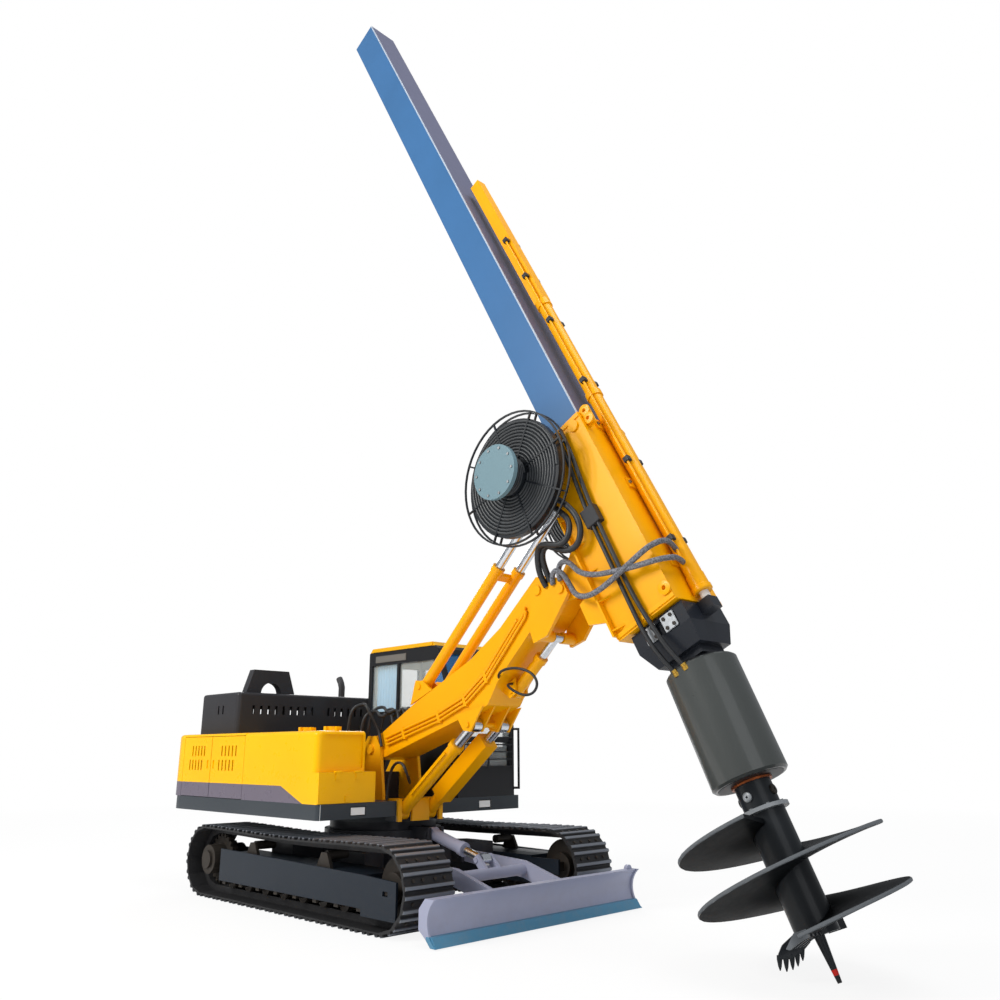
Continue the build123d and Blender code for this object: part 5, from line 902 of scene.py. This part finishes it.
# %% Cut plates
PLATE_BEVEL = 0.004


def cut_plate(name, corners, thick, way, finish, body):
    """Plate from its corners, thickened along a way, with a bevelled rim."""
    build = bmesh.new()
    face = build.faces.new([build.verts.new(corner) for corner in corners])
    raised = bmesh.ops.extrude_face_region(build, geom=[face])
    tops = [item for item in raised["geom"] if isinstance(item, bmesh.types.BMVert)]
    bmesh.ops.translate(build, verts=tops, vec=Vector(way) * thick)
    bmesh.ops.bevel(build, geom=build.edges[:], offset=PLATE_BEVEL, segments=2, affect="EDGES")
    bmesh.ops.recalc_face_normals(build, faces=build.faces)
    mesh = bpy.data.meshes.new(name)
    build.to_mesh(mesh)
    build.free()
    mesh.materials.append(finish)
    piece = bpy.data.objects.new(name, mesh)
    bpy.context.scene.collection.objects.link(piece)
    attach(piece, body)


# Corners of a plate: s, and t off the plate's middle
FOOT_PLATE = ((-2.735, -0.075), (-2.735, 0.075), (-2.885, 0.075), (-2.885, -0.075))
for side, sign in SIDES:
    sunk = []
    for index, t in enumerate((-0.11, 0.11)):
        corners = [on_mast(s, t + d, sign * 0.3255) for s, d in FOOT_PLATE]
        cut_plate(f"foot_plate_{side}_{index + 1}", corners, 0.016, LEFT * sign, plate_steel, "outer_bar")
        for s in (-2.765, -2.855):
            for d in (-0.04, 0.04):
                sunk.append((on_mast(s, t + d, sign * 0.3415), LEFT * sign))
    bolt_group(f"foot_plate_bolts_{side}", dark_bolts, sunk, 0.032, "outer_bar")

# %% [markdown]
# ## Crowd cylinder's fittings
# Oil reaches both ends of the long crowd cylinder by thin pipes clamped along it, and its lower
# end closes in a gland nut. A ring is a profile turned about an axis, so one function turns it.

# %% Turned rings
SHARP_ANGLE = radians(35)


def turned_ring(name, centre, axis, profile, finish, body, steps=40):
    """Closed profile of radius and height pairs, turned about an axis through a centre."""
    axis = Vector(axis).normalized()
    side = axis.orthogonal().normalized()
    across = axis.cross(side)
    rings = []
    for step in range(steps):
        angle = tau * step / steps
        way = side * cos(angle) + across * sin(angle)
        rings.append([Vector(centre) + way * radius + axis * height for radius, height in profile])
    count = len(profile)
    verts = [corner for ring in rings for corner in ring]
    faces = []
    for step in range(steps):
        after = (step + 1) % steps
        for corner in range(count):
            beside = (corner + 1) % count
            faces.append((step * count + corner, after * count + corner, after * count + beside,
                          step * count + beside))
    build = bmesh.new()
    mesh = bpy.data.meshes.new(name)
    mesh.from_pydata(verts, [], faces)
    build.from_mesh(mesh)
    bmesh.ops.remove_doubles(build, verts=build.verts, dist=0.0001)
    bmesh.ops.recalc_face_normals(build, faces=build.faces)
    build.to_mesh(mesh)
    build.free()
    mesh.materials.append(finish)
    mesh.shade_smooth()
    mesh.set_sharp_from_angle(angle=SHARP_ANGLE)
    piece = bpy.data.objects.new(name, mesh)
    bpy.context.scene.collection.objects.link(piece)
    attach(piece, body)


CROWD_T = 0.380
GLAND = ((0.050, 0.0), (0.086, 0.0), (0.096, 0.012), (0.096, 0.052), (0.088, 0.060), (0.088, 0.180),
         (0.050, 0.180))
turned_ring("crowd_gland", on_mast(-2.636, CROWD_T), UP, GLAND, yellow, "mast")
# Round bosses with a hole, at the mast's top and foot: s, t, y
BOSS = ((0.022, 0.0), (0.058, 0.0), (0.064, 0.006), (0.064, 0.030), (0.040, 0.034), (0.022, 0.034))
for index, (s, t, y) in enumerate(((-0.400, 0.350, -0.300), (-0.505, 0.350, -0.300),
                                   (-2.560, 0.255, -0.380))):
    turned_ring(f"mast_boss_{index + 1}", on_mast(s, t, y), -LEFT, BOSS, yellow, "mast", steps=28)
lug = [on_mast(s, t, -0.265) for s, t in ((-0.335, 0.285), (-0.335, 0.395), (-0.575, 0.395), (-0.575, 0.285))]
cut_plate("mast_lug", lug, 0.036, -LEFT, yellow, "mast")

# %% Rings of the power head and of the auger's coupling
HEAD_CONE = ((0.155, 0.0), (0.245, 0.0), (0.245, 0.012), (0.195, 0.062), (0.155, 0.062))
turned_ring("head_cone", HEAD_TOP, -DOWN, HEAD_CONE, valve_paint, "power_head")
# Thin black disc over the head's mouth: painted shade that stands in for the dark hollow of its bore
HEAD_MOUTH_SHADE_DISC = ((0.160, 0.0), (0.288, 0.0), (0.288, 0.003), (0.160, 0.003))
turned_ring("head_mouth_painted_shade", HEAD_TOP + DOWN * 1.040, DOWN, HEAD_MOUTH_SHADE_DISC, hose_rubber, "power_head")
SEAL = ((0.154, 0.0), (0.176, 0.0), (0.176, 0.016), (0.154, 0.016))
turned_ring("coupling_seal", HEAD_TOP + DOWN * 1.046, DOWN, SEAL, copper, "auger")
PIN_HEAD = ((0.010, 0.0), (0.036, 0.0), (0.040, 0.006), (0.040, 0.022), (0.028, 0.028), (0.010, 0.028))
for index, (way, finish) in enumerate(((-LEFT, plate_steel), (-HEAD_BACK, gear_steel), (LEFT, plate_steel),
                                       (HEAD_BACK, gear_steel))):
    turned_ring(f"coupling_pin_{index + 1}", HEAD_TOP + DOWN * 1.165 + way * 0.146, way, PIN_HEAD, finish,
                "auger", steps=24)
FITTING = ((0.010, 0.0), (0.034, 0.0), (0.034, 0.030), (0.027, 0.034), (0.027, 0.060), (0.010, 0.060))
for index, t in enumerate((-0.074, 0.034)):
    turned_ring(f"head_fitting_{index + 1}", on_mast(-3.245, t, -0.303), UP * 0.9 - LEFT * 0.4, FITTING,
                brass, "power_head", steps=24)

# %% [markdown]
# ## Flight of the auger
# The flight is a ribbon of plate wound round the stem, and its pitch stretches towards the tip.
# A straight ribbon is drawn first, whose length counts turns; the node tree winds it by the rule:
# the drop is the start, plus the pitch times the turns, plus the stretch times the turns squared.

# %% Winding rule
def flight_tree(finish):
    """Winds a ribbon that lies along X in turns, with its reach along Y and its drop along Z."""
    tree, start, end = tree_with("flight_rule", ("Ribbon", "NodeSocketGeometry", None),
                                 ("Start", "NodeSocketFloat", 1.0),
                                 ("Pitch", "NodeSocketFloat", 0.3), ("Stretch", "NodeSocketFloat", 0.0),
                                 ("First angle", "NodeSocketFloat", 0.0))
    place = add_node(tree, "GeometryNodeInputPosition")
    axes = add_node(tree, "ShaderNodeSeparateXYZ", {"Vector": place})
    turns, reach, drop = (axes.outputs[name] for name in "XYZ")
    angle = add_node(tree, "ShaderNodeMath", {0: turns, 1: tau, 2: start.outputs["First angle"]},
                     operation="MULTIPLY_ADD")
    ahead = add_node(tree, "ShaderNodeMath", {0: angle}, operation="COSINE")
    beside = add_node(tree, "ShaderNodeMath", {0: angle}, operation="SINE")
    x = add_node(tree, "ShaderNodeMath", {0: reach, 1: ahead}, operation="MULTIPLY")
    y = add_node(tree, "ShaderNodeMath", {0: reach, 1: beside}, operation="MULTIPLY")
    slope = add_node(tree, "ShaderNodeMath",
                     {0: turns, 1: start.outputs["Stretch"], 2: start.outputs["Pitch"]},
                     operation="MULTIPLY_ADD")
    sunk = add_node(tree, "ShaderNodeMath", {0: turns, 1: slope, 2: start.outputs["Start"]},
                    operation="MULTIPLY_ADD")
    z = add_node(tree, "ShaderNodeMath", {0: sunk, 1: drop}, operation="ADD")
    wound = add_node(tree, "ShaderNodeCombineXYZ", {"X": x, "Y": y, "Z": z})
    moved = add_node(tree, "GeometryNodeSetPosition",
                     {"Geometry": start.outputs["Ribbon"], "Position": wound})
    # Winding mirrors the ribbon, so its faces are turned out again
    out = add_node(tree, "GeometryNodeFlipFaces", {"Mesh": moved})
    lean = Matrix((HEAD_BACK, LEFT, DOWN)).transposed().to_euler()
    hung = add_node(tree, "GeometryNodeTransform",
                    {"Geometry": out, "Translation": HEAD_TOP, "Rotation": lean})
    real = add_node(tree, "GeometryNodeRealizeInstances", {"Geometry": hung})
    painted = add_node(tree, "GeometryNodeSetMaterial", {"Geometry": real, "Material": finish})
    tree.links.new(painted.outputs[0], end.inputs[0])
    return tree


# %% Ribbon, and the flight it becomes
FLIGHT_RULE = {"Start": 1.364, "Pitch": 0.354, "Stretch": 0.032, "First angle": radians(-107)}
FLIGHT_TURNS = 1.993
RIBBON_STEPS = 260
# Share of a turn by which the ribbon passes each end of the plate
RIBBON_OVERRUN = 0.002
# Section of the ribbon: reach off the axis and drop; it thickens towards the stem
RIBBON = ((0.150, -0.008), (0.300, -0.008), (0.420, -0.0075), (0.600, -0.0052), (0.796, -0.0018),
          (0.8045, 0.006),
          (0.8045, 0.020), (0.796, 0.0278), (0.600, 0.0312), (0.420, 0.0335), (0.300, 0.034), (0.150, 0.034))
verts = []
for step in range(RIBBON_STEPS + 1):
    turns = -RIBBON_OVERRUN + (FLIGHT_TURNS + 2 * RIBBON_OVERRUN) * step / RIBBON_STEPS
    verts += [(turns, reach, drop) for reach, drop in RIBBON]
count = len(RIBBON)
faces = [tuple(range(count)), tuple(reversed(range(RIBBON_STEPS * count, (RIBBON_STEPS + 1) * count)))]
for step in range(RIBBON_STEPS):
    for corner in range(count):
        beside = (corner + 1) % count
        faces.append((step * count + corner, (step + 1) * count + corner, (step + 1) * count + beside,
                      step * count + beside))
ribbon = bpy.data.meshes.new("flight_ribbon")
ribbon.from_pydata(verts, [], faces)
build = bmesh.new()
build.from_mesh(ribbon)
bmesh.ops.recalc_face_normals(build, faces=build.faces)
build.to_mesh(ribbon)
build.free()
flight = grown("auger_flight", flight_tree(flight_paint), FLIGHT_RULE, ribbon)
flight.data.set_sharp_from_angle(angle=SHARP_ANGLE)
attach(flight, "auger")
print("flight faces", len(flight.data.polygons))

# %% [markdown]
# ## Pilot bit's teeth
# Below the last turn a wing plate carries a row of pointed bits that loosen the ground ahead of
# the flight. The plate is cut from an outline, and each bit is the same short cone.

# %% Wing plate and its bits
WING_WAY = (HEAD_BACK * 0.74 - LEFT * 0.67).normalized()
WING_FACE = WING_WAY.cross(DOWN).normalized()
WING_THICK = 0.036
# Outline of the wing: reach off the axis and drop below the head's top
WING = ((0.08, 2.10), (0.16, 2.165), (0.29, 2.213), (0.345, 2.262), (0.350, 2.298), (0.27, 2.318),
        (0.18, 2.305), (0.08, 2.255))
wing = [HEAD_TOP + WING_WAY * reach + DOWN * drop - WING_FACE * WING_THICK / 2 for reach, drop in WING]
cut_plate("pilot_wing", wing, WING_THICK, WING_FACE, auger_paint, "auger")
BIT = ((0.0, 0.0), (0.019, 0.0), (0.020, 0.030), (0.013, 0.075), (0.004, 0.102), (0.0, 0.104))
BIT_WAY = DOWN * 0.93 + WING_WAY * 0.36
# Root of each bit: reach and drop
BIT_ROOTS = ((0.153, 2.257), (0.203, 2.281), (0.249, 2.291), (0.297, 2.290), (0.340, 2.270))
for index, (reach, drop) in enumerate(BIT_ROOTS):
    root = HEAD_TOP + WING_WAY * reach + DOWN * drop
    turned_ring(f"pilot_bit_{index + 1}", root, BIT_WAY, BIT, auger_paint, "auger", steps=16)

# %% Crowd pipes and their clamps
PIPE_LOW, PIPE_HIGH = -2.30, 2.70
CLAMP_STATIONS = (-2.05, -1.05, 0.10, 1.10, 1.90, 2.60)
PIPE_RADIUS = 0.013
PIPE_T = CROWD_T + 0.02
# Corners of a clamp: along the cylinder, and t
CLAMP = ((0.03, CROWD_T - 0.012), (0.03, CROWD_T + 0.052), (-0.03, CROWD_T + 0.052), (-0.03, CROWD_T - 0.012))
for side, sign in SIDES:
    offset = sign * 0.104
    ends = [on_mast(PIPE_LOW, PIPE_T, sign * 0.070), on_mast(PIPE_LOW + 0.02, PIPE_T, offset),
            on_mast(PIPE_LOW + 0.10, PIPE_T, offset),
            on_mast(PIPE_HIGH - 0.10, PIPE_T, offset), on_mast(PIPE_HIGH - 0.02, PIPE_T, offset),
            on_mast(PIPE_HIGH, PIPE_T, sign * 0.060)]
    pipe = as_mesh(hose_curve(f"crowd_pipe_{side}", ends, PIPE_RADIUS, yellow))
    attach(pipe, "mast")
    for index, s in enumerate(CLAMP_STATIONS):
        corners = [on_mast(s + d, t, sign * 0.062) for d, t in CLAMP]
        cut_plate(f"crowd_clamp_{side}_{index + 1}", corners, 0.064, LEFT * sign, valve_paint, "mast")

# %% Short pipes on the boom's side, below its head
BOOM_PIPE_Y = GEAR_Y - 0.272
BOOM_PIPE_RADIUS = 0.015
# Step from the lower pipe to the upper one: X and Z
BOOM_PIPE_STEP = (-0.016, 0.040)
# Run of the lower pipe: X and Z
BOOM_PIPE_RUN = ((2.725, 2.884), (2.780, 2.943), (2.815, 2.982), (2.832, 3.015), (2.834, 3.060))
for index in range(2):
    step_x, step_z = (index * step for step in BOOM_PIPE_STEP)
    route = [Vector((x + step_x, BOOM_PIPE_Y, z + step_z)) for x, z in BOOM_PIPE_RUN]
    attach(as_mesh(hose_curve(f"boom_pipe_{index + 1}", route, BOOM_PIPE_RADIUS, yellow)), "boom")

# %% Clamp that holds the pair of hoses to the mast
clamp = [on_mast(s, t, -0.38) for s, t in ((-1.40, -0.15), (-1.40, 0.02), (-1.60, 0.02), (-1.60, -0.15))]
cut_plate("hose_clamp", clamp, 0.085, -LEFT, valve_paint, "mast")

# %% Vent panel over the cab's side windows
vent = [Vector((x, 0.452, z)) for x, z in ((-0.86, 2.835), (-0.20, 2.835), (-0.20, 2.925), (-0.86, 2.925))]
cut_plate("cab_vent_panel", vent, 0.012, -LEFT, panel_paint, "upper")

# %% Valve blocks on the deck
DECK_TOP = 1.126
VALVE_HEIGHT = 0.30
VALVE_FROM, VALVE_TO = -0.18, 0.16
for name, y_low, y_high in (("valve_block_outer", -0.80, -0.455), ("valve_block_inner", -0.40, 0.10)):
    corners = ((VALVE_FROM, y_low), (VALVE_TO, y_low), (VALVE_TO, y_high), (VALVE_FROM, y_high))
    valve = [Vector((x, y, DECK_TOP)) for x, y in corners]
    cut_plate(name, valve, VALVE_HEIGHT, Vector((0, 0, 1)), valve_paint, "upper")

# %% [markdown]
# ## Curtain
# The cab's rear pane has a cotton curtain. It hangs from a rail in even folds, so it is a sheet
# whose depth swings to and fro along its width.

# %% Curtain in the cab
CURTAIN_FROM, CURTAIN_TO = -0.945, -0.40
CURTAIN_LOW, CURTAIN_HIGH = 2.10, 2.81
CURTAIN_Y = 0.548
FOLDS = 9
FOLD_DEPTH = 0.016
COLUMNS, ROWS = 109, 9
verts = []
for row in range(ROWS):
    fall = row / (ROWS - 1)
    for column in range(COLUMNS):
        share = column / (COLUMNS - 1)
        depth = FOLD_DEPTH * (0.65 + 0.35 * fall) * sin(tau * FOLDS * share + 0.4 * sin(3 * fall))
        x = CURTAIN_FROM + (CURTAIN_TO - CURTAIN_FROM) * share
        z = CURTAIN_HIGH + (CURTAIN_LOW - CURTAIN_HIGH) * fall
        verts.append((x, CURTAIN_Y + depth, z))
faces = []
for row in range(ROWS - 1):
    for column in range(COLUMNS - 1):
        corner = row * COLUMNS + column
        faces.append((corner, corner + 1, corner + COLUMNS + 1, corner + COLUMNS))
cloth = bpy.data.meshes.new("cab_curtain")
cloth.from_pydata(verts, [], faces)
cloth.materials.append(rubber("light_blue_cotton", "C8ECFF", "A4DAFC", 0.9, weave_mm=7.0))
for polygon in cloth.polygons:
    polygon.use_smooth = True
curtain = bpy.data.objects.new("cab_curtain", cloth)
bpy.context.scene.collection.objects.link(curtain)
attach(curtain, "upper")
